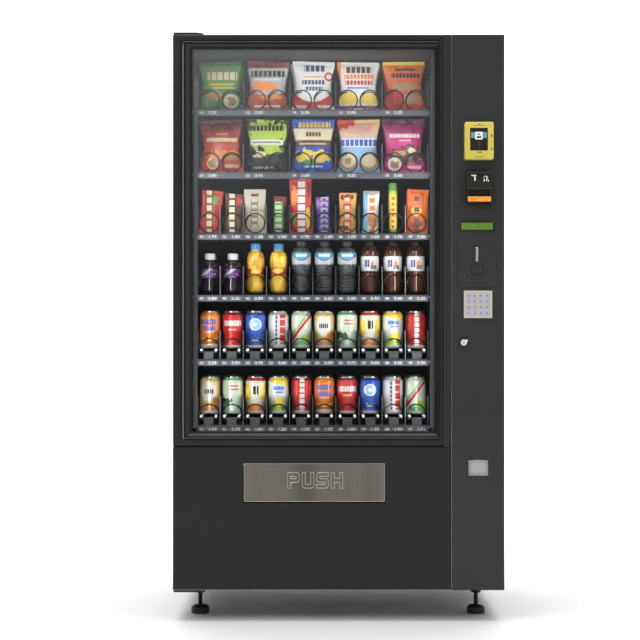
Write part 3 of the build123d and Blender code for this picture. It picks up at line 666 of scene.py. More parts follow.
lock_white = moulded("lock_cover", (0.66, 0.66, 0.66), 0.3)
LOCK_X, LOCK_Z = 387.8, 865
plug_outline = [(9.55, -403), (9.55, -420.6), (9.0, -421.6), (7.6, -422), (6.4, -421.6), (5.9, -420.8),
                (5.6, -420.9), (5.2, -421.7), (1.0, -421.9)]
lock_face = turned_y(plug_outline, LOCK_X, LOCK_Z)
piece("lock_barrel", [lock_face], "lock", lock_white, ("lock_plug",))
piece("lock_key_slot", [rounded_block(386.9, 388.7, -422.0, -420, 860.8, 869.2, 0.8, 0.1)], "lock", ink_black)
collar = skin([turned_y([(r, y)], LOCK_X, LOCK_Z)[0] for r, y in
               ((9.75, -414.1), (9.75, -417.2), (12.6, -416.6), (13.4, -414.1))], loop=True)
piece("lock_collar", [collar], "door", black_plastic)
shutter = turned_y([(3.9, -414.2), (4.1, -421.0), (3.2, -421.6), (1.0, -421.8)], 396.0, 870.6, around=20)
piece("lock_shutter", [shutter], "door", lock_white)

# ---- coin return cup -----------------------------------------------------------------------------
# A light grey moulded cup behind a barrel-shaped flap; the flap swings in on a pin at its top.
# The cup is the working model's own part; a thin rim is added round its mouth.
cup_grey = moulded("cup_grey", (0.36, 0.36, 0.36), 0.4)
finish_part("coin_cup", cup_grey)


def barrel(x0, x1, z0, z1, y_front, y_back, bulge, edge):
    """A tile whose top and bottom edges are bowed: a superellipse outline stretched by a cosine across its width."""
    turn = np.linspace(0, 2 * np.pi, 48, endpoint=False)
    cx, cz, w, h = (x0 + x1) / 2, (z0 + z1) / 2, (x1 - x0) / 2, (z1 - z0) / 2
    px = np.sign(np.cos(turn)) * np.abs(np.cos(turn)) ** 0.22
    pz = np.sign(np.sin(turn)) * np.abs(np.sin(turn)) ** 0.22
    rows = []
    for y, inset in ((y_back, 0), (y_front + edge, 0), (y_front + edge * 0.3, edge * 0.3), (y_front, edge)):
        ww, hh = w - inset, h - inset
        rows.append(np.stack([cx + px * ww, np.full(48, float(y)), cz + pz * (hh - bulge * (px * px))], 1))
    return skin(rows)


flap_face = [barrel(405.8, 460.2, 455.6, 500.6, -412.6, -409.6, bulge=2.6, edge=1.2),
             barrel(410, 456, 460.5, 495.5, -413.1, -412, bulge=1.8, edge=0.5)]
piece("coin_flap_face", flap_face, "cup_door", cup_grey, ("coin_cup_flap",))
cup_rim = [skin([barrel(x0, x1, z0, z1, y, y + 0.2, b, 0.01)[0][-48:] for x0, x1, z0, z1, y, b in
                 ((403.0, 463.0, 452.8, 501.6, -413.0, 2.6), (403.0, 463.0, 452.8, 501.6, -416.0, 2.6),
                  (404.4, 461.6, 454.2, 500.2, -416.8, 2.6), (405.4, 460.6, 455.2, 499.2, -415.8, 2.6),
                  (405.4, 460.6, 455.2, 499.2, -413.2, 2.6))], loop=True)]
piece("coin_cup_rim", cup_rim, "door", cup_grey)

# ---- delivery bin and push flap ------------------------------------------------------------------
# Products land in a black moulded bin. Its flap is brushed stainless sheet with a rolled rim and the
# plain instruction pressed into it as outline letters; it swings in on a rod along its top.
finish_part("delivery_bin", black_plastic)
flap_steel, flap_tree, flap_shader = start_coat("flap_steel", (0.17, 0.16, 0.135), 0.42, 0.85)
bands = spread(flap_tree, grain(flap_tree, 7.0, (1, 1, 0.05), 2.0), 0.0, 1.0, 0.38, 0.62)
brushing = grain(flap_tree, 300.0, (1, 1, 0.03), 3.0)
dark_brushing = tint(flap_tree, brushing, (0.105, 0.100, 0.082), (0.150, 0.143, 0.118))
pale_brushing = tint(flap_tree, brushing, (0.190, 0.181, 0.148), (0.25, 0.238, 0.195))
flap_tree.links.new(tint(flap_tree, bands, dark_brushing, pale_brushing), flap_shader.inputs["Base Color"])
flap_tree.links.new(spread(flap_tree, brushing, 0.36, 0.5), flap_shader.inputs["Roughness"])
# The rim and the letters are drawn in a paler steel than the flap: a painted highlight along their raised edges.
flap_highlight_paint = bare_metal("flap_painted_highlight", (0.50, 0.48, 0.43), 0.3, (0.1, 1, 1), 300.0)
piece("push_flap_plate", [rounded_block(-294.0, 143.5, -412.6, -410.2, 371, 490.7, 3, 1.0)], "push_door", flap_steel,
      ("push_flap",))
flap_rim = skin([rounded_ring(-294.1 + s, 143.6 - s, 370.9 + s, 490.8 - s, y, 3) for s, y in
                 ((0, -411.4), (0.1, -412.6), (0.8, -413.1), (1.7, -413.1), (2.4, -412.4))], loop=True)
piece("push_flap_rim", [flap_rim], "push_door", flap_highlight_paint, sharp=60)


def rod_x(x0, x1, y, z, radius, around=16):
    """A round rod along X with slightly rounded ends."""
    turn = np.linspace(0, 2 * np.pi, around, endpoint=False)
    rows = [np.stack([np.full(around, x), y + r * np.cos(turn), z + r * np.sin(turn)], 1)
            for x, r in ((x0, radius * 0.7), (x0 + 1, radius), (x1 - 1, radius), (x1, radius * 0.7))]
    return skin(rows)


piece("push_flap_rod", [rod_x(-326, 173.5, -407.5, 487, 2.9)], "push_door", zinc)


def pressed_line(points, y, width, height):
    """A raised line along a closed outline: at each corner the width is laid off along the mitre, in three ridges."""
    p = np.asarray(points, float)
    ahead, behind = np.roll(p, -1, 0) - p, p - np.roll(p, 1, 0)
    ahead /= np.linalg.norm(ahead, axis=1)[:, None]
    behind /= np.linalg.norm(behind, axis=1)[:, None]
    normal = np.stack([-(ahead + behind)[:, 1], (ahead + behind)[:, 0]], 1)
    normal /= np.linalg.norm(normal, axis=1)[:, None]
    turn = np.stack([-ahead[:, 1], ahead[:, 0]], 1)
    mitre = normal / np.maximum((normal * turn).sum(1), 0.4)[:, None]
    rows = []
    for share, rise in ((-1, 0.0), (-0.6, 0.8), (0, 1.0), (0.6, 0.8), (1, 0.0)):
        q = p + mitre * share * width / 2
        rows.append(np.stack([q[:, 0], np.full(len(q), y - rise * height), q[:, 1]], 1))
    return skin(rows, loop=True)


STROKE = 0.27
letters = {
    "P": [[(0, 0), (STROKE, 0), (STROKE, .36), (.84, .36), (1, .5), (1, .86), (.84, 1), (0, 1)],
          [(STROKE, .60), (1 - STROKE, .60), (1 - STROKE, .77), (STROKE, .77)]],
    "U": [[(0, 1), (0, .14), (.16, 0), (.84, 0), (1, .14), (1, 1), (1 - STROKE, 1), (1 - STROKE, .25), (STROKE, .25),
           (STROKE, 1)]],
    "S": [[(0, 0), (.84, 0), (1, .14), (1, .48), (.84, .61), (STROKE, .61), (STROKE, .77), (1, .77), (1, 1), (.16, 1),
           (0, .86), (0, .5), (.16, .38), (1 - STROKE, .38), (1 - STROKE, .23), (0, .23)]],
    "H": [[(0, 0), (STROKE, 0), (STROKE, .37), (1 - STROKE, .37), (1 - STROKE, 0), (1, 0), (1, 1), (1 - STROKE, 1),
           (1 - STROKE, .63), (STROKE, .63), (STROKE, 1), (0, 1)]]}
LETTER_WIDE, LETTER_TALL, LETTER_STEP = 36, 48, 45.0
letter_lines = []
for place, letter in enumerate("PUSH"):
    left = -158 + place * LETTER_STEP
    letter_lines += [pressed_line([(left + LETTER_WIDE * a, 413.5 + LETTER_TALL * b) for a, b in outline],
                                  -412.5, width=2.6, height=1.1) for outline in letters[letter]]
piece("push_letters", letter_lines, "push_door", flap_highlight_paint, sharp=60)

# ---- light strips --------------------------------------------------------------------------------
# Two slim plastic channels behind the glass edges hold the white lamps that light the shelves.
# Each is an extruded strip, clipped to the back of the door beside the window.
channel_white = moulded("channel_grey", (0.085, 0.088, 0.095), 0.45)
strips = [rounded_block(x, x + 13, -392.0, -376, 600, 1694, 2, 1.5) for x in (-453, 285.5)]
piece("light_channels", strips, "door", channel_white)

# ---- trays ---------------------------------------------------------------------------------------
# Six powder-coated steel trays. Each has upright dividers between its lanes and a motor behind every
# lane; the front edge carries an extruded price rail with printed price tags slid into it.
tray_grey = powder_coat("tray_grey_coat", (0.045, 0.047, 0.051), 0.42)
RAILS = (1601.0, 1399.0, 1202.0, 1004.0, 797.0, 584.0)
LANES = (5, 5, 10, 10, 10, 10)


TRAY_LEFT, TRAY_WIDTH = -454, 745.6


def lane_middles(count):
    """Middle of each lane across a tray that has this many."""
    width = TRAY_WIDTH / count
    return [TRAY_LEFT + width * (k + 0.5) for k in range(count)]


# One extruded rail, given a paler grey on the top two trays and darker greys below: painted shade that deepens towards
# the lower trays.
rail_painted_shade = [moulded("rail_grey_%d" % (k + 1), c, 0.35) for k, c in
             enumerate([(0.060, 0.065, 0.076)] * 2 + [(0.036, 0.040, 0.048)] * 2 + [(0.030, 0.034, 0.042)] * 2)]
tag_grey = gloss("price_tag", (0.068, 0.073, 0.085), 0.35)
figure_white = gloss("price_figure", (0.55, 0.55, 0.55), 0.4)
fold_steel = bare_metal("divider_fold_steel", (0.34, 0.34, 0.35), 0.35, (1, 1, 0.1), 120.0)
FOLD_Y = -200.0


def rail_shape(height):
    """The price rail: a side outline with a lip above and below the tag groove, carried across the tray."""
    outline = [(-212.1, height - 10), (-214.6, height - 10), (-215.8, height - 9), (-215.8, height - 7.4),
               (-213.6, height - 7), (-213.2, height + 6.8), (-214.8, height + 7.2), (-215.8, height + 7.9),
               (-215.4, height + 9.6), (-213.5, height + 10), (-212.1, height + 10)]
    rows = [[(x, y, z) for y, z in outline] for x in (TRAY_LEFT, TRAY_LEFT + TRAY_WIDTH)]
    return skin(rows)


def figures(text, size):
    """Points and faces of a line of digits in the built-in plain face, standing in X and Z, centred on nought."""
    curve = bpy.data.curves.new("digits", "FONT")
    curve.body, curve.size, curve.align_x, curve.align_y = text, size, "CENTER", "CENTER"
    curve.resolution_u, curve.extrude = 2, 0.15
    holder = bpy.data.objects.new("digits", curve)
    bpy.context.scene.collection.objects.link(holder)
    made = bpy.data.meshes.new_from_object(holder.evaluated_get(bpy.context.evaluated_depsgraph_get()))
    v = np.empty(len(made.vertices) * 3, np.float32)
    made.vertices.foreach_get("co", v)
    v = v.reshape(-1, 3)
    faces = [list(q.vertices) for q in made.polygons]
    bpy.data.objects.remove(holder)
    bpy.data.meshes.remove(made)
    bpy.data.curves.remove(curve)
    return np.stack([v[:, 0], -v[:, 2], v[:, 1]], 1).astype(float), faces


TAG_HALF, TAG_FACE, FIGURE_FACE = 6.6, -214.2, -214.5
for level, (height, count) in enumerate(zip(RAILS, LANES)):
    number = level + 1
    body = "tray_%d_body" % number
    finish_part("tray_%d" % number, tray_grey)
    piece("tray_%d_rail" % number, [rail_shape(height)], body, rail_painted_shade[level], sharp=25)
    tags, digits = [], []
    for lane, x in enumerate(lane_middles(count)):
        left = x - TRAY_WIDTH / count / 2
        tags += [plate(left + start, left + stop, height - TAG_HALF, height + TAG_HALF, TAG_FACE, 0.7, 0.8)
                 for start, stop in ((4, 27), (31, 70))]
        v, f = figures("%d%d" % (number, lane if count == 10 else 2 * lane), 11.5)
        digits.append((v + np.array([left + 15.5, FIGURE_FACE, height]), f))
        v, f = figures("%d.%02d" % (1 + (lane * 3 + number) % 3, 25 * ((lane + number) % 4)), 12.5)
        digits.append((v * np.array([1.25, 1, 1]) + np.array([left + 50.5, FIGURE_FACE, height]), f))
    piece("tray_%d_tags" % number, tags, body, tag_grey)
    folds = [rounded_block(x - 0.9, x + 0.9, FOLD_Y - 0.5, FOLD_Y + 1.5, height + 12.4, height + 104.6, 0.5, 0.4, 3)
             for x in (TRAY_LEFT + TRAY_WIDTH / count * k for k in range(1, count))]
    piece("tray_%d_divider_folds" % number, folds, body, fold_steel)
    v, f, start = [], [], 0
    for points, faces in digits:
        v.append(points)
        f += [[start + k for k in q] for q in faces]
        start += len(points)
    mesh = bpy.data.meshes.new("tray_%d_figures" % number)
    mesh.from_pydata((np.concatenate(v) / 1000).tolist(), [], f)
    mesh.materials.append(figure_white)
    made = bpy.data.objects.new("tray_%d_figures" % number, mesh)
    bpy.context.scene.collection.objects.link(made)
    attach(made, body)

# ---- spirals, can rails and front stops ----------------------------------------------------------
# Each lane has a coated wire spiral, or a pair, keyed to the motor by a round hub at the back. Drink
# lanes also have a dark front stop and two white rods that the cans stand on.
FLOOR = 12.0
wire_coat = powder_coat("wire_coat", (0.010, 0.010, 0.0105), 0.3)
rod_white = moulded("rod_white", (0.66, 0.65, 0.61), 0.35)
stop_grey = moulded("stop_grey", (0.042, 0.043, 0.043), 0.4)
PITCH = (48.0, 48.0, 32.0, 80.0, 80.0, 80.0)
COIL_RADIUS, WIRE_RADIUS, COIL_FRONT, COIL_LENGTH = 31, 2.1, -184, 480.0
AXIS_RISE = 34.7


def spiral_wire(x, axis_z, pitch, per_turn=26):
    """A wire coil: its middle goes round as it runs back, from the left over the top, one pitch to each turn.

    Round each point six more lie on a small circle, across the wire's own direction."""
    turns = COIL_LENGTH / pitch
    t = np.linspace(0, 2 * np.pi * turns, int(per_turn * turns) + 1)
    middle = np.stack([-COIL_RADIUS * np.cos(t), COIL_FRONT + t * pitch / (2 * np.pi), COIL_RADIUS * np.sin(t)], 1)
    out = np.stack([-np.cos(t), 0 * t, np.sin(t)], 1)
    ahead = np.stack([COIL_RADIUS * np.sin(t), np.full(t.shape, pitch / (2 * np.pi)), COIL_RADIUS * np.cos(t)], 1)
    ahead /= np.linalg.norm(ahead, axis=1)[:, None]
    side = np.cross(ahead, out)
    around = np.linspace(0, 2 * np.pi, 6, endpoint=False)
    outwards, sideways = np.cos(around)[None, :, None], np.sin(around)[None, :, None]
    rows = middle[:, None] + WIRE_RADIUS * (outwards * out[:, None] + sideways * side[:, None])
    return skin(rows + np.array([x, 0, axis_z]))


def hub_plate(x, axis_z):
    """The hub: a short turned plate on the spiral's line, with a rounded rim."""
    return turned_y([(30.5, 298.4), (32.2, 299.4), (32.2, 302.6), (30.5, 303.8)], x, axis_z, 20)


for level, (height, count, pitch) in enumerate(zip(RAILS, LANES, PITCH)):
    number = level + 1
    body = "tray_%d_body" % number
    floor = height + FLOOR
    axis_z = floor + AXIS_RISE
    wires, rods, stops = [], [], []
    for lane, x in enumerate(lane_middles(count)):
        if not (number == 5 and lane == 3):
            for side in ((-35.5, 35.5) if count == 5 else (0.0,)):
                wires += [spiral_wire(x + side, axis_z, pitch), hub_plate(x + side, axis_z)]
        if number >= 5:
            stops += [rounded_block(x - 15.5, x + 15.5, -199.8, -190, floor + 0.1, floor + 21, 2, 1),
                      rounded_block(x - 29.5, x + 29.5, -199.8, -190, floor + 21.1, floor + 25.1, 1.5, 1)]
            rods += [turned_y([(3.4, -199.8), (4.2, -199.0), (4.2, 288), (3.4, 289)], x + s, floor + 29.5, 14)
                     for s in (-23.6, 23.6)]
    piece("tray_%d_spirals" % number, wires, body, wire_coat, ("tray_%d_lane_kit" % number,), sharp=50)
    if number >= 5:
        piece("tray_%d_rods" % number, rods, body, rod_white)
        piece("tray_%d_stops" % number, stops, body, stop_grey)

working_x, working_z = lane_middles(10)[3], RAILS[4] + FLOOR + AXIS_RISE
working_coil = [spiral_wire(working_x, working_z, PITCH[4]), hub_plate(working_x, working_z)]
piece("working_spiral", working_coil, "can_lane_spiral", wire_coat, ("can_spiral",), sharp=50)

# ---- snack bags ----------------------------------------------------------------------------------
# Printed film bags filled with air: sealed flat with crimped strips at the top and bottom, full in the
# middle, and creased where the film gathers towards the seals.


def calc(tree, how, first, second=0.0, third=None):
    """One step of arithmetic on numbers or node outputs."""
    step = tree.nodes.new("ShaderNodeMath")
    step.operation = how
    for socket, value in zip(step.inputs, (first, second, third)):
        if value is None:
            continue
        if isinstance(value, (int, float)):
            socket.default_value = value
        else:
            tree.links.new(value, socket)
    return step.outputs[0]


def in_ellipse(tree, u, v, x, y, wide, tall):
    """How far out a point lies from an ellipse's middle: the sum of its two scaled distances squared, 1 on the rim."""
    du = calc(tree, "DIVIDE", calc(tree, "SUBTRACT", u, x), wide)
    dv = calc(tree, "DIVIDE", calc(tree, "SUBTRACT", v, y), tall)
    return calc(tree, "ADD", calc(tree, "MULTIPLY", du, du), calc(tree, "MULTIPLY", dv, dv))


def off_middle(tree, value, low, high):
    """How far a value is from the middle of a range."""
    return calc(tree, "ABSOLUTE", calc(tree, "SUBTRACT", value, (low + high) / 2))


def past_box(tree, u, v, x0, x1, y0, y1):
    """How far a point lies outside a rectangle: the greater of its distances past the two pairs of sides."""
    du = calc(tree, "SUBTRACT", off_middle(tree, u, x0, x1), (x1 - x0) / 2)
    dv = calc(tree, "SUBTRACT", off_middle(tree, v, y0, y1), (y1 - y0) / 2)
    return calc(tree, "MAXIMUM", du, dv)


def printed(name, base, marks, rough=0.26, metal=0.0, wrinkle=0.6, wrinkle_size=48.0):
    """Printed film or tin: plain shapes laid over a base colour by position on the piece's front.

    A band keeps a range of height, slanted or bowed; a disc keeps points inside an ellipse; a box keeps a
    rectangle; a blob is a disc with a ragged edge; words are a row of blank blocks; a fade grows with height;
    stripes and rungs keep every other strip. Each is a soft-edged mask that mixes its colour in."""
    coat, tree, shader = start_coat(name, base, rough, metal)
    place = tree.nodes.new("ShaderNodeUVMap")
    place.uv_map = "face"
    split = tree.nodes.new("ShaderNodeSeparateXYZ")
    tree.links.new(place.outputs["UV"], split.inputs["Vector"])
    u, v = split.outputs["X"], split.outputs["Y"]
    colour = base
    for kind, ink, a, b, c, d in marks:
        if kind == "band":
            bent = calc(tree, "SUBTRACT", v, calc(tree, "MULTIPLY", calc(tree, "SUBTRACT", u, 0.5), c))
            bow = calc(tree, "MULTIPLY", calc(tree, "POWER", off_middle(tree, u, 0, 1), 2.0), d)
            inside = off_middle(tree, calc(tree, "SUBTRACT", bent, bow), a, b)
            mask = spread(tree, inside, 1.0, 0.0, (b - a) / 2 - 0.006, (b - a) / 2 + 0.006)
        elif kind == "disc":
            mask = spread(tree, in_ellipse(tree, u, v, a, b, c, d), 1.0, 0.0, 0.94, 1.06)
        elif kind == "box":
            mask = spread(tree, past_box(tree, u, v, a, b, c, d), 1.0, 0.0, -0.005, 0.005)
        elif kind == "blob":
            ragged = calc(tree, "MULTIPLY_ADD", grain(tree, 75.0, detail=2.0), 3.6, -1.8)
            mask = spread(tree, calc(tree, "ADD", in_ellipse(tree, u, v, a, b, c, d), ragged), 1.0, 0.0, 0.90, 1.10)
        elif kind == "words":
            patch = spread(tree, past_box(tree, u, v, a, b, c, d), 1.0, 0.0, -0.004, 0.004)
            run = calc(tree, "FRACT", calc(tree, "MULTIPLY", u, 1.15 / (d - c)))
            mask = calc(tree, "MULTIPLY", patch, spread(tree, run, 1.0, 0.0, 0.74, 0.82))
        elif kind == "fade":
            mask = spread(tree, v, 0.0, c, a, b)
        else:
            wave = calc(tree, "FRACT", calc(tree, "MULTIPLY", u if kind == "stripes" else v, c))
            inside = off_middle(tree, v if kind == "stripes" else u, a, b)
            gate = spread(tree, inside, 1.0, 0.0, (b - a) / 2 - 0.004, (b - a) / 2 + 0.004)
            mask = calc(tree, "MULTIPLY", gate, spread(tree, wave, 1.0, 0.0, d, d + 0.05))
        colour = tint(tree, mask, colour, ink)
    uneven = spread(tree, grain(tree, 30.0), 0.0, 0.08, 0.4, 0.7)
    tree.links.new(tint(tree, uneven, colour, (0.75, 0.74, 0.72)), shader.inputs["Base Color"])
    tree.links.new(spread(tree, grain(tree, 35.0), rough - 0.08, rough + 0.14), shader.inputs["Roughness"])
    if wrinkle:
        raise_surface(tree, shader, grain(tree, wrinkle_size, (1, 1, 0.55), 5.0), wrinkle, 0.004)
    return coat


def film_bag(x, y, z, width, height, depth, seed, lean=0.0, draw=0.10, tilt=0.0):
    """A pillow bag: rings up its height, each a flattened superellipse.

    Its thickness rises from the seals as a root of a sine, its sides draw in as it fills, creases fan
    from the seals, and the crimped ends keep a fine zigzag. The whole bag may then tip sideways a little."""
    rng = np.random.default_rng(seed)
    v = np.concatenate([np.linspace(0, 0.055, 6), np.linspace(0.075, 0.925, 34), np.linspace(0.945, 1, 6)])
    turn = np.linspace(0, 2 * np.pi, 56, endpoint=False)
    inner = np.clip((v - 0.06) / 0.88, 0, 1)
    full = np.sin(np.pi * inner) ** 0.55
    full = np.where(inner <= 0, 0, full)[:, None]
    half = width / 2 * (1 - draw * full ** 2 + 0.02 * (1 - v[:, None]))
    a, b = np.cos(turn)[None], np.sin(turn)[None]
    px = half * np.sign(a) * np.abs(a) ** 0.85
    thick = (0.55 + depth / 2 * full) * np.sign(b) * np.abs(b) ** 1.25
    side = px / (width / 2)
    crease = np.zeros_like(thick)
    for k in range(7):
        middle, size, spin = rng.uniform(-0.8, 0.8), rng.uniform(0.05, 0.12), rng.uniform(-0.5, 0.5)
        top = rng.random() > 0.45
        away = (1 - inner if top else inner)[:, None]
        crease += -rng.uniform(2.0, 4.2) * np.exp(-((side - middle - spin * away) / (size + 0.25 * away)) ** 2) * \
            np.exp(-(away / 0.22)) * (full > 0)
    thick = thick + crease * np.sign(b) * np.abs(b) ** 0.6
    crimp = ((v < 0.056) | (v > 0.944))[:, None]
    thick = thick + np.where(crimp, 0.35 * np.sign(np.sin(v * height * 1.9))[:, None], 0)
    wave = 0.8 * np.sin(side * rng.uniform(2, 4) + rng.uniform(0, 6)) * (1 - full)
    pz = z + height * v[:, None] + 0 * a + rng.uniform(-1.2, 1.2) * side * v[:, None]
    py = y + thick + wave + lean * (v[:, None] - 0.5)
    swing = math.radians(tilt)
    turned_x = px * math.cos(swing) + (pz - z) * math.sin(swing)
    turned_z = z + (pz - z) * math.cos(swing) - px * math.sin(swing)
    turned_z += max(z - turned_z.min(), 0)
    return skin(np.stack([x + turned_x, py, turned_z], -1))


green, cream, tan = (0.10, 0.30, 0.055), (0.72, 0.62, 0.40), (0.42, 0.24, 0.09)
red, deep_red, orange = (0.55, 0.025, 0.02), (0.20, 0.012, 0.015), (0.80, 0.23, 0.02)
white, navy, yellow = (0.74, 0.73, 0.70), (0.03, 0.05, 0.20), (0.86, 0.62, 0.06)
purple, silver, sky = (0.20, 0.05, 0.24), (0.42, 0.42, 0.42), (0.24, 0.50, 0.72)
black, blue, brown = (0.018, 0.016, 0.015), (0.025, 0.10, 0.50), (0.10, 0.035, 0.016)
magenta, peach = (0.58, 0.03, 0.20), (0.78, 0.46, 0.24)
lime, dark_green = (0.42, 0.58, 0.06), (0.03, 0.12, 0.025)
bag_prints = [
    [("film_leaf_green", green, [("fade", dark_green, .45, -.1, .8, 0), ("words", cream, .18, .86, .64, .80),
        ("words", yellow, .22, .78, .53, .57), ("words", yellow, .30, .80, .46, .50),
        ("blob", tan, .34, .34, .22, .09), ("disc", cream, .72, .22, .17, .14), ("blob", tan, .72, .22, .12, .09),
        ("band", dark_green, .93, 1.1, 0, 0)]),
    ("film_silver", silver, [("band", deep_red, .88, 1.1, 0, 0), ("words", black, .14, .90, .70, .82),
        ("words", white, .2, .8, .63, .66), ("blob", orange, .44, .50, .30, .10),
        ("band", (0.45, .07, .02), -.1, .34, 0, .3), ("blob", orange, .6, .30, .3, .05),
        ("words", white, .2, .8, .10, .14)]),
    ("film_white_red", white, [("band", red, -.1, .20, 0, 1.0), ("words", navy, .30, .78, .80, .93),
        ("words", orange, .28, .74, .68, .71), ("words", navy, .26, .78, .54, .63),
        ("words", navy, .32, .72, .42, .50), ("disc", red, .86, .70, .10, .09), ("disc", white, .86, .70, .06, .05),
        ("words", white, .12, .36, .08, .14), ("words", white, .6, .9, .08, .14)]),
    ("film_white_orange", white, [("box", orange, -.1, .10, .35, 1.1), ("words", brown, .22, .80, .78, .91),
        ("words", orange, .18, .84, .66, .75), ("words", red, .2, .82, .54, .63), ("words", blue, .24, .74, .46, .50),
        ("blob", yellow, .28, .26, .24, .12), ("blob", yellow, .74, .26, .24, .12), ("band", purple, -.1, .13, 0, 0),
        ("words", white, .3, .7, .04, .08)]),
    ("film_orange_red", (0.66, 0.07, 0.02), [("fade", orange, .45, .95, .9, 0), ("band", yellow, .94, 1.1, 0, 0),
        ("words", black, .28, .76, .82, .87), ("words", black, .2, .84, .68, .77), ("blob", tan, .55, .50, .34, .08),
        ("blob", red, .30, .26, .28, .14), ("blob", tan, .70, .28, .2, .12)])],
    [("film_red_nut", (0.50, 0.05, 0.02), [("fade", (0.05, .008, .01), .5, .95, .95, 0),
        ("words", cream, .16, .86, .60, .67), ("words", orange, .38, .64, .73, .76),
        ("blob", orange, .55, .36, .4, .09), ("blob", tan, .72, .30, .2, .06), ("disc", cream, .30, .20, .13, .11),
        ("blob", tan, .30, .20, .1, .08), ("words", cream, .58, .9, .12, .18)]),
    ("film_black_lime", black, [("blob", lime, .5, .74, .46, .30), ("words", black, .12, .88, .80, .90),
        ("box", white, .12, .86, .54, .63), ("words", black, .18, .80, .57, .60), ("blob", lime, .62, .44, .22, .08),
        ("blob", cream, .32, .36, .14, .06), ("blob", silver, .4, .12, .3, .02)]),
    ("film_blue_tan", blue, [("words", yellow, .18, .90, .86, .96), ("band", cream, .62, .84, 0, 0),
        ("words", brown, .34, .68, .69, .77), ("band", brown, .50, .62, 0, 0), ("words", cream, .2, .8, .54, .57),
        ("blob", yellow, .30, .33, .20, .12), ("blob", yellow, .70, .33, .20, .12),
        ("blob", green, .42, .22, .14, .05), ("blob", white, .5, .14, .2, .02)]),
    ("film_pale_blue", sky, [("fade", peach, .60, .72, .95, 0), ("disc", red, .08, .94, .34, .14),
        ("blob", (0.7, .35, .3), .5, .80, .34, .08), ("box", white, .05, .95, .49, .65),
        ("words", blue, .08, .92, .51, .63), ("disc", (0.6, .22, .08), .27, .24, .21, .16),
        ("disc", cream, .27, .24, .16, .12), ("blob", tan, .27, .24, .08, .06),
        ("disc", (0.6, .22, .08), .73, .24, .21, .16), ("disc", cream, .73, .24, .16, .12)]),
    ("film_magenta", magenta, [("fade", (0.06, .01, .03), .62, .98, .95, 0), ("words", white, .16, .86, .66, .73),
        ("words", cream, .38, .64, .60, .62), ("blob", brown, .58, .34, .40, .16),
        ("blob", cream, .66, .42, .12, .05), ("blob", tan, .40, .38, .16, .05), ("disc", white, .28, .18, .15, .12),
        ("blob", tan, .28, .18, .1, .07), ("words", white, .55, .88, .10, .15)])]]
BAG_WIDTH, BAG_THICK, PRINT_HALF = 138, 34, 72
BAG_DEPTHS = (-112.0, -64.0, -16.0)
for level in (0, 1):
    floor = RAILS[level] + FLOOR + 0.2
    for lane, x in enumerate(lane_middles(5)):
        name, base, marks = bag_prints[level][lane]
        film = printed(name, base, marks)
        for depth, y in enumerate(BAG_DEPTHS):
            seed = level * 50 + lane * 7 + depth
            tall = 164 + seed % 3 if level == 0 else 174 + seed * 4 % 9
            pillow = film_bag(x + (seed % 3 - 1), y, floor, BAG_WIDTH, tall, BAG_THICK, seed, lean=6 - depth,
                              draw=0.17, tilt=(seed * 7 % 5 - 2) * 0.7)
            bag = piece("bag_%d_%d_%d" % (level + 1, lane + 1, depth + 1), [pillow], "tray_%d_body" % (level + 1), film,
                        sharp=70, even=False,
                        flat_uv=(x - PRINT_HALF, x + PRINT_HALF, floor, floor + tall))

# ---- bars and small packs ------------------------------------------------------------------------
# Narrow film packs with crimped ends, and one paper tube, stand in the spirals of the third tray.
# Each lane has its own print and width, and three packs stand one behind the other.
pack_prints = [
    ("pack_red_cream", red, 140, 34, [("blob", green, .72, .80, .26, .10), ("rungs", brown, .30, .66, 5.5, .84),
        ("rungs", cream, .36, .60, 5.5, .68)]),
    ("pack_dark_brown", brown, 130, 30, [("blob", red, .78, .84, .24, .12), ("rungs", black, .24, .70, 5.5, .88),
        ("rungs", cream, .32, .62, 5.5, .68)]),
    ("pack_beige", (0.50, 0.45, 0.34), 146, 35, [("box", (0.2, .18, .13), .28, .62, .14, .78),
        ("rungs", (0.55, .5, .4), .32, .58, 7.0, .5), ("box", brown, .3, .64, .84, .90),
        ("words", tan, .66, .86, .5, .56)]),
    ("pack_wine_lime", (0.07, 0.01, 0.008), 122, 20, [("box", green, .12, .88, .14, .84),
        ("rungs", (0.5, .65, .4), .24, .76, 6.0, .6), ("band", deep_red, .86, 1.1, 0, 0)]),
    ("pack_tall_red", red, 178, 35.5, [("blob", orange, .18, .7, .14, .2), ("blob", yellow, .82, .3, .12, .2),
        ("blob", green, .16, .3, .12, .1), ("rungs", white, .34, .68, 7.0, .76),
        ("blob", deep_red, .86, .8, .12, .1)]),
    ("pack_violet", (0.10, 0.06, 0.32), 120, 22, [("band", (0.3, .1, .4), .84, 1.1, .4, 0),
        ("rungs", silver, .24, .76, 6.5, .62), ("rungs", (0.1, .06, .32), .38, .62, 6.5, .3)]),
    ("pack_caramel", (0.62, 0.33, 0.07), 134, 28, [("blob", brown, .5, .9, .4, .06),
        ("rungs", red, .26, .74, 5.0, .7), ("rungs", cream, .36, .64, 5.0, .4), ("blob", brown, .3, .16, .3, .05)]),
    ("pack_white_blue", white, 140, 26, [("box", sky, -.1, .34, -.1, 1.1), ("blob", tan, .66, .34, .3, .2),
        ("rungs", orange, .46, .80, 5.5, .6), ("band", silver, .93, 1.1, 0, 0)]),
    ("tube_yellow", (0.80, 0.60, 0.05), 166, 14, [("band", green, .78, 1.1, 0, 0), ("band", green, -.1, .1, 0, 0),
        ("rungs", red, .32, .66, 9.0, .5), ("band", green, .88, 1.1, 0, 0), ("band", lime, .78, .84, 0, 0)]),
    ("pack_orange", (0.72, 0.13, 0.012), 144, 35, [("fade", (0.5, .06, .01), .4, -.1, .8, 0),
        ("blob", yellow, .5, .52, .26, .1), ("rungs", brown, .42, .66, 4.0, .4),
        ("blob", brown, .56, .22, .22, .07)])]
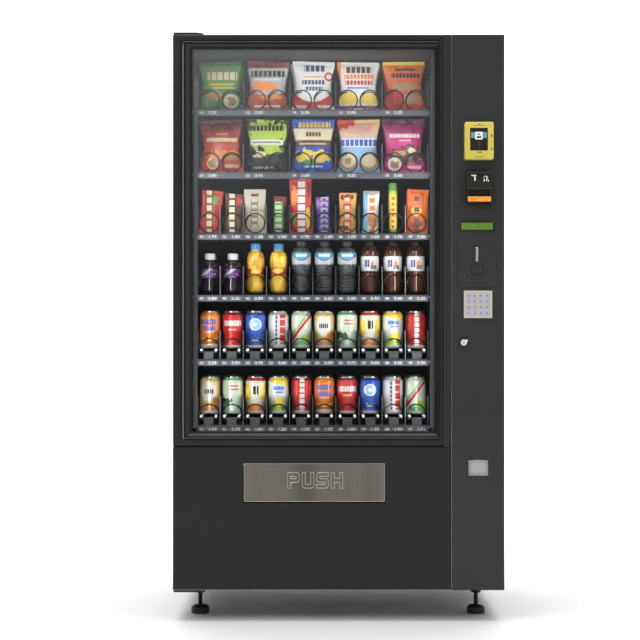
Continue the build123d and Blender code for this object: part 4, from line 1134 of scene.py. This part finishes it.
PACK_THICK, PACK_DEPTHS = 19, (-139.0, -107.0, -75.0)
PACK_TILTS = (4, 3, -1, 3, -1, -3, 1, 2, 0, 3)
floor = RAILS[2] + FLOOR + 0.2
for lane, (x, (name, base, tall, wide, marks)) in enumerate(zip(lane_middles(10), pack_prints)):
    film = printed(name, base, marks, 0.3, 0.0, 0.3, 90.0)
    for depth, y in enumerate(PACK_DEPTHS):
        if name.startswith("tube"):
            shape = turned([(12.5, floor), (13.6, floor + 1), (13.6, floor + tall - 1), (12.5, floor + tall)], x, y, 24)
        else:
            shape = film_bag(x, y, floor, wide * 2, tall, PACK_THICK, 200 + lane * 9 + depth, lean=4, draw=0.05,
                             tilt=PACK_TILTS[lane])
        piece("pack_%d_%d" % (lane + 1, depth + 1), [shape], "tray_3_body", film, sharp=70,
              flat_uv=(x - wide, x + wide, floor, floor + tall))

# ---- bottles -------------------------------------------------------------------------------------
# Blown clear bottles with screw caps and wrapped labels. The drink inside gives them their colour, and
# the water bottles are ribbed below the label.


def drink(name, colour, rough=0.08):
    """A filled bottle's wall: glossy over the drink's own colour, a little uneven as light passes through it."""
    coat, tree, shader = start_coat(name, colour, rough)
    darker = tuple(c * 0.6 for c in colour)
    lighter = tuple(min(c * 1.5 + 0.004, 1) for c in colour)
    depth_of_tone = spread(tree, grain(tree, 45.0, (1, 1, 0.5)), 0, 1, .35, .65)
    tree.links.new(tint(tree, depth_of_tone, darker, lighter), shader.inputs["Base Color"])
    shader.inputs["Coat Weight"].default_value = 0.8
    shader.inputs["Coat Roughness"].default_value = 0.04
    tree.links.new(spread(tree, grain(tree, 60.0), rough, rough + 0.1), shader.inputs["Roughness"])
    raise_surface(tree, shader, grain(tree, 45.0), 0.15, 0.002)
    return coat


def bottle_outline(z, tall, stations):
    """A bottle's side: it passes through stations of radius and share of the height, and between two of them the
    radius changes as half a cosine wave."""
    side = []
    for (v0, r0), (v1, r1) in zip(stations, stations[1:]):
        for t in np.arange(4) / 4:
            side.append((r0 + (r1 - r0) * (0.5 - 0.5 * math.cos(math.pi * t)), z + tall * (v0 + (v1 - v0) * t)))
    return side + [(stations[-1][1], z + tall * stations[-1][0])]


def cap_outline(z, tall, foot, radius):
    """A screw cap: a straight skirt from its foot height, and a crown rounded as a quarter circle."""
    turn = np.linspace(0, np.pi / 2, 5)
    crown = [(radius - 3 + 3 * math.cos(a), z + tall - 3 + 3 * math.sin(a)) for a in turn]
    return [(radius - 0.6, z + tall * foot), (radius, z + tall * foot + 0.8)] + crown + [(2, z + tall)]


def label_outline(z, tall, radius, low, high):
    """A wrapped label: a sleeve just proud of the bottle, turned in at both edges."""
    return [(radius - 0.5, z + tall * low), (radius + 0.45, z + tall * low + 0.6),
            (radius + 0.45, z + tall * high - 0.6), (radius - 0.5, z + tall * high)]


label_inks = [
    printed("label_violet", (0.12, 0.03, 0.17), [("band", silver, .54, .62, .35, 0),
        ("words", (0.5, .3, .6), .2, .8, .42, .49)], .3, 0, .1),
    printed("label_red", red, [("blob", yellow, .5, .44, .3, .05), ("band", yellow, .35, .37, 0, 0)], .3, 0, .1),
    printed("label_blue", (0.04, 0.30, 0.44), [("band", silver, .48, .62, 0, .5), ("words", white, .2, .8, .70, .75),
        ("band", navy, .62, .64, 0, .5)], .3, 0, .1),
    printed("label_white", (0.62, 0.62, 0.61), [("words", navy, .2, .48, .5, .64),
        ("blob", orange, .62, .57, .1, .05), ("words", black, .52, .82, .46, .54), ("band", silver, .41, .44, 0, 0)],
        .3, 0, .1)]
drinks = [drink("drink_grape", (0.012, 0.007, 0.014)), drink("drink_orange", (0.74, 0.40, 0.045), 0.14),
    drink("drink_water", (0.055, 0.060, 0.064), 0.05), drink("drink_tea", (0.060, 0.016, 0.005), 0.08)]
caps = [moulded("cap_silver", (0.52, 0.52, 0.53), .3), moulded("cap_blue", (0.04, 0.24, 0.48), .35),
    moulded("cap_dark", (0.05, 0.053, 0.06), .35), moulded("cap_black", (0.012, 0.010, 0.010), .3)]
bottle_kinds = [0, 0, 1, 1, 2, 2, 2, 3, 3, 3]
ribs = [(0.07 + 0.028 * k, 30.8 - 2.2 * (k % 2)) for k in range(16)]
bottle_sizes = [
    (130, [(0.0, 17), (.012, 24), (.06, 29), (.20, 30.8), (.34, 27.8), (.62, 27.8), (.67, 29), (.75, 25), (.81, 15),
        (.86, 14.2)], .38, .61, .84, 17.0),
    (162, [(0.0, 15), (.01, 22), (.05, 28.5), (.15, 30.6), (.30, 27.6), (.34, 26.4), (.50, 26.4), (.54, 28.0),
        (.56, 27.2), (.60, 28.4), (.72, 28.0), (.80, 25), (.86, 16), (.90, 14.5)], .35, .49, .875, 16.0),
    (170, [(0.0, 17), (.01, 24), (.04, 29)] + ribs + [(.53, 30.6), (.79, 30.6), (.85, 26.5), (.90, 15.5), (.92, 14)],
        .55, .78, .905, 15.5),
    (170, [(0.0, 18), (.01, 25), (.05, 30.5), (.15, 31.6), (.33, 31.2), (.40, 28.8), (.72, 28.8), (.75, 30.2),
        (.81, 28.6), (.87, 22), (.91, 15), (.93, 14)], .42, .71, .91, 15.5)]
PRODUCT_DEPTHS = (-124.0, -44.0, 36.0)
BOTTLE_PRINT_HALF = 31
base_z = RAILS[3] + FLOOR + 5.9
for lane, (x, kind) in enumerate(zip(lane_middles(10), bottle_kinds)):
    tall, stations, low, high, cap_foot, cap_radius = bottle_sizes[kind]
    waist = np.interp((low + high) / 2, *zip(*stations))
    for depth, y in enumerate(PRODUCT_DEPTHS[:2]):
        tag = "%d_%d" % (lane + 1, depth + 1)
        spot = (x - BOTTLE_PRINT_HALF, x + BOTTLE_PRINT_HALF, base_z, base_z + tall)
        wall = turned(bottle_outline(base_z, tall, stations), x, y, 32)
        cap = turned(cap_outline(base_z, tall, cap_foot, cap_radius), x, y, 28)
        label = turned(label_outline(base_z, tall, waist, low, high), x, y, 32)
        piece("bottle_" + tag, [wall], "tray_4_body", drinks[kind], sharp=60)
        piece("bottle_cap_" + tag, [cap], "tray_4_body", caps[kind])
        piece("bottle_label_" + tag, [label], "tray_4_body", label_inks[kind], flat_uv=spot)

# ---- cans ----------------------------------------------------------------------------------------
# Drawn aluminium cans, printed all round, necked in at the top under a bright rolled rim with a pull tab.
# The print stops above a ring of bare metal round the foot.


def can_outline(z):
    """A can's side: domed foot, small chamfer, straight wall and neck."""
    return [(18, z + 4), (23, z + 0.4), (25.5, z + 0.3), (28, z + 2.4), (32.2, z + 8), (32.9, z + 11),
            (32.9, z + 104), (32.4, z + 107), (29.2, z + 113.5), (27.0, z + 117.2)]


def rim_outline(z):
    """The lid: a rolled rim standing over a sunk panel."""
    return [(26.9, z + 117.0), (27.4, z + 118.6), (27.4, z + 121.0), (26.6, z + 121.9), (25.6, z + 121.2),
            (25.0, z + 117.6), (23.6, z + 117.0), (2, z + 117.2)]


def foot_ring(z):
    """The bare metal round the foot, where the print stops: a thin skin over the wall's lowest centimetre."""
    return [(24, z + 0.35), (28.3, z + 2.1), (32.5, z + 7.7), (33.05, z + 10.6), (32.5, z + 11.0)]


tin = bare_metal("can_tin", (0.66, 0.66, 0.66), 0.25, (1, 1, 1), 200.0)
foot_tin = gloss("can_foot_tin", (0.46, 0.46, 0.45), 0.3)
leaf, rust, pale_mint = (0.10, 0.42, 0.14), (0.40, 0.09, 0.02), (0.55, 0.64, 0.50)
can_designs = [
    ("can_orange_blue", orange, .28, .35, [("fade", red, .45, .0, .9, 0), ("band", yellow, .20, .25, 0, .4),
        ("words", blue, .14, .86, .64, .78), ("words", blue, .2, .8, .48, .60),
        ("words", white, .26, .74, .42, .45), ("band", cream, .08, .12, 0, 0)]),
    ("can_red", red, .28, .35, [("band", deep_red, .90, 1.1, 0, 0), ("words", white, .08, .92, .60, .74),
        ("words", cream, .3, .7, .48, .52), ("band", deep_red, -.1, .10, 0, 0)]),
    ("can_blue", blue, .28, .35, [("band", navy, .90, 1.1, 0, 0), ("disc", white, .5, .64, .30, .16),
        ("disc", sky, .5, .64, .25, .13), ("disc", white, .5, .64, .11, .055), ("words", white, .3, .7, .20, .28)]),
    ("can_silver_red", (0.60, 0.60, 0.61), .3, .3, [("rungs", red, .58, .84, 5.0, .8),
        ("rungs", black, .36, .44, 9.0, .72), ("band", silver, -.1, .12, 0, 0), ("band", silver, .9, 1.1, 0, 0)]),
    ("can_mint_stripes", pale_mint, .28, .3, [("band", leaf, .66, .72, .7, 0), ("band", red, .50, .62, .7, 0),
        ("band", white, .44, .48, .7, 0), ("band", leaf, -.1, .22, .2, 0), ("blob", lime, .8, .26, .3, .1)]),
    ("can_cream_gold", (0.66, 0.46, 0.16), .3, .35, [("fade", rust, .36, .0, .95, 0),
        ("disc", cream, .46, .60, .40, .28), ("disc", white, .46, .60, .34, .24),
        ("words", brown, .24, .70, .54, .66), ("blob", orange, .8, .34, .2, .1), ("band", cream, .93, 1.1, 0, 0)]),
    ("can_white_green", (0.62, 0.70, 0.58), .28, .35, [("band", leaf, .90, 1.1, 0, 0),
        ("words", red, .36, .80, .72, .77), ("words", red, .36, .80, .63, .68), ("fade", leaf, .34, .05, .9, 0),
        ("blob", dark_green, .2, .34, .3, .1), ("disc", white, .5, .16, .12, .06)]),
    ("can_cream_red", (0.70, 0.66, 0.52), .28, .3, [("band", red, .88, 1.1, 0, 0),
        ("disc", yellow, .08, .56, .2, .24), ("disc", yellow, .94, .56, .2, .24),
        ("words", black, .36, .66, .52, .74), ("fade", rust, .34, .12, .95, 0), ("blob", orange, .42, .16, .24, .08)]),
    ("can_lemon", (0.64, 0.68, 0.66), .28, .3, [("band", yellow, .80, 1.1, -.15, 0),
        ("words", blue, .24, .80, .64, .74), ("words", blue, .36, .76, .56, .60),
        ("fade", (0.12, .25, .03), .42, .2, .9, 0), ("blob", yellow, .62, .34, .26, .12),
        ("blob", lime, .4, .12, .3, .07)]),
    ("can_plain_red", red, .28, .35, [("band", deep_red, .90, 1.1, 0, 0), ("rungs", white, .42, .66, 7.0, .76),
        ("box", deep_red, -.1, .14, -.1, 1.1)])]
can_inks = [printed(name, base, marks, rough, metal, wrinkle=0) for name, base, rough, metal, marks in can_designs]
can_rows = {4: can_inks, 5: can_inks[5:] + can_inks[:5]}
CAN_RADIUS, CAN_TALL, CAN_RISE = 33, 122, 33.8
for level, inks in can_rows.items():
    z = RAILS[level] + FLOOR + CAN_RISE
    for lane, (x, ink) in enumerate(zip(lane_middles(10), inks)):
        for depth, y in enumerate(PRODUCT_DEPTHS):
            working = level == 4 and lane == 3 and depth == 0
            body = "lane_can" if working else "tray_%d_body" % (level + 1)
            tag = "%d_%d_%d" % (level + 1, lane + 1, depth + 1)
            if level == 4 and lane == 3 and depth > 0:
                continue
            piece("can_" + tag, [turned(can_outline(z), x, y, 32)], body, ink, ("vend_can",) if working else (),
                  sharp=50, flat_uv=(x - CAN_RADIUS, x + CAN_RADIUS, z, z + CAN_TALL))
            lid = [turned(rim_outline(z), x, y, 32)]
            if depth == 0:
                lid.append(skin([rounded_ring(x - w, x + w, y - 12 + a, y + 5 - a, h, 5)[:, [0, 2, 1]] for w, a, h in
                                 ((6, 1, z + 117.4), (7, 0, z + 118.0), (7, 0, z + 118.8), (6, 1, z + 119.4))]))
            piece("can_lid_" + tag, lid, body, tin, sharp=50)
            piece("can_foot_" + tag, [turned(foot_ring(z), x, y, 32)], body, foot_tin, sharp=50)

# ---- floor, lights and camera --------------------------------------------------------------------
# A pale seamless floor that curves up far behind, with soft lamps in front, above and behind, and small lamps over the
# shelves. The floor is clear when it is looked at from its outer side, so a camera behind it still sees the machine.
SWEEP_HALF, SWEEP_START, SWEEP_RADIUS = 9000.0, 2500.0, 2500
sweep_x = np.array([-SWEEP_HALF, SWEEP_HALF])
arc = np.linspace(0, np.pi / 2, 12)
sweep_y = np.concatenate([[-SWEEP_HALF, SWEEP_START], SWEEP_START + SWEEP_RADIUS * np.sin(arc),
                          [SWEEP_START + SWEEP_RADIUS]])
sweep_z = np.concatenate([[0.0, 0.0], SWEEP_RADIUS - SWEEP_RADIUS * np.cos(arc), [SWEEP_HALF]])
backdrop_rows = np.stack([np.stack([sweep_x, np.full(2, y), np.full(2, z)], 1) for y, z in zip(sweep_y, sweep_z)])
points, faces = skin(backdrop_rows, caps=False, around=False)
mesh = bpy.data.meshes.new("studio_floor")
mesh.from_pydata((points / 1000).tolist(), [], faces)
mesh.polygons.foreach_set("use_smooth", np.ones(len(mesh.polygons), bool))
floor_coat, floor_tree, floor_shader = start_coat("studio_white", (0.86, 0.86, 0.86), 0.6)
floor_tree.links.new(spread(floor_tree, grain(floor_tree, 3.0), 0.55, 0.7), floor_shader.inputs["Roughness"])
if mesh.polygons[0].normal.z < 0:
    mesh.flip_normals()
sides = floor_tree.nodes.new("ShaderNodeNewGeometry")
see_through = floor_tree.nodes.new("ShaderNodeBsdfTransparent")
one_way = floor_tree.nodes.new("ShaderNodeMixShader")
floor_out = next(n for n in floor_tree.nodes if n.type == "OUTPUT_MATERIAL")
floor_tree.links.new(sides.outputs["Backfacing"], one_way.inputs[0])
floor_tree.links.new(floor_shader.outputs[0], one_way.inputs[1])
floor_tree.links.new(see_through.outputs[0], one_way.inputs[2])
floor_tree.links.new(one_way.outputs[0], floor_out.inputs["Surface"])
mesh.materials.append(floor_coat)
studio_floor = bpy.data.objects.new("studio_floor", mesh)
bpy.context.scene.collection.objects.link(studio_floor)

world = bpy.data.worlds.new("studio")
world.use_nodes = True
world.node_tree.nodes["Background"].inputs["Color"].default_value = (1, 1, 1, 1)
world.node_tree.nodes["Background"].inputs["Strength"].default_value = 0.42
bpy.context.scene.world = world


def soft_lamp(name, where, aim, width, height, power):
    """A flat rectangular lamp at a place, turned towards its aim and hidden from the camera."""
    data = bpy.data.lights.new(name, "AREA")
    data.shape, data.size, data.size_y, data.energy = "RECTANGLE", width, height, power
    lamp = bpy.data.objects.new(name, data)
    lamp.location = where
    lamp.rotation_euler = (Vector(aim) - Vector(where)).to_track_quat("-Z", "Y").to_euler()
    lamp.visible_camera = False
    lamp.visible_glossy = not name.startswith("shelf")
    bpy.context.scene.collection.objects.link(lamp)


# Places and sizes in metres, power in watts.
for lamp_row in (("key_lamp", (-2.6, -3.6, 3.6), (0, 0, 0.8), 2.4, 2.0, 70),
                 ("fill_lamp", (3.6, -3.2, 2.0), (0, 0, 0.9), 2.0, 2.6, 22),
                 ("top_lamp", (0.0, 0.2, 5.2), (0, 0, 0.0), 5.0, 5.0, 330),
                 ("back_lamp", (0.0, 1.6, 3.4), (0, 5.0, 1.6), 6.0, 1.6, 190),
                 ("strip_lamp_left", (-0.43, -0.34, 1.10), (-0.08, -0.12, 1.10), 0.05, 1.0, 1.6),
                 ("strip_lamp_right", (0.27, -0.34, 1.10), (-0.08, -0.12, 1.10), 0.05, 1.0, 1.6),
                 ("shelf_lamp_top", (-0.08, -0.33, 1.76), (-0.08, -0.12, 1.2), 0.6, 0.06, 1.2),
                 ("shelf_lamp_low", (-0.08, -0.36, 0.56), (-0.08, -0.12, 0.8), 0.66, 0.05, 0.9),
                 ("shelf_lamp_front", (-0.08, -0.386, 1.15), (-0.08, 0.0, 1.15), 0.72, 1.22, 3.9)):
    soft_lamp(*lamp_row)

camera_data = bpy.data.cameras.new("camera")
camera_data.lens, camera_data.sensor_width = 99.8, 36.0
camera = bpy.data.objects.new("camera", camera_data)
camera.location = (-0.0577, -5.914, 0.935)
camera.rotation_euler = (math.pi / 2, 0, 0)
bpy.context.scene.collection.objects.link(camera)
bpy.context.scene.camera = camera
bpy.context.scene.view_settings.view_transform = "Standard"
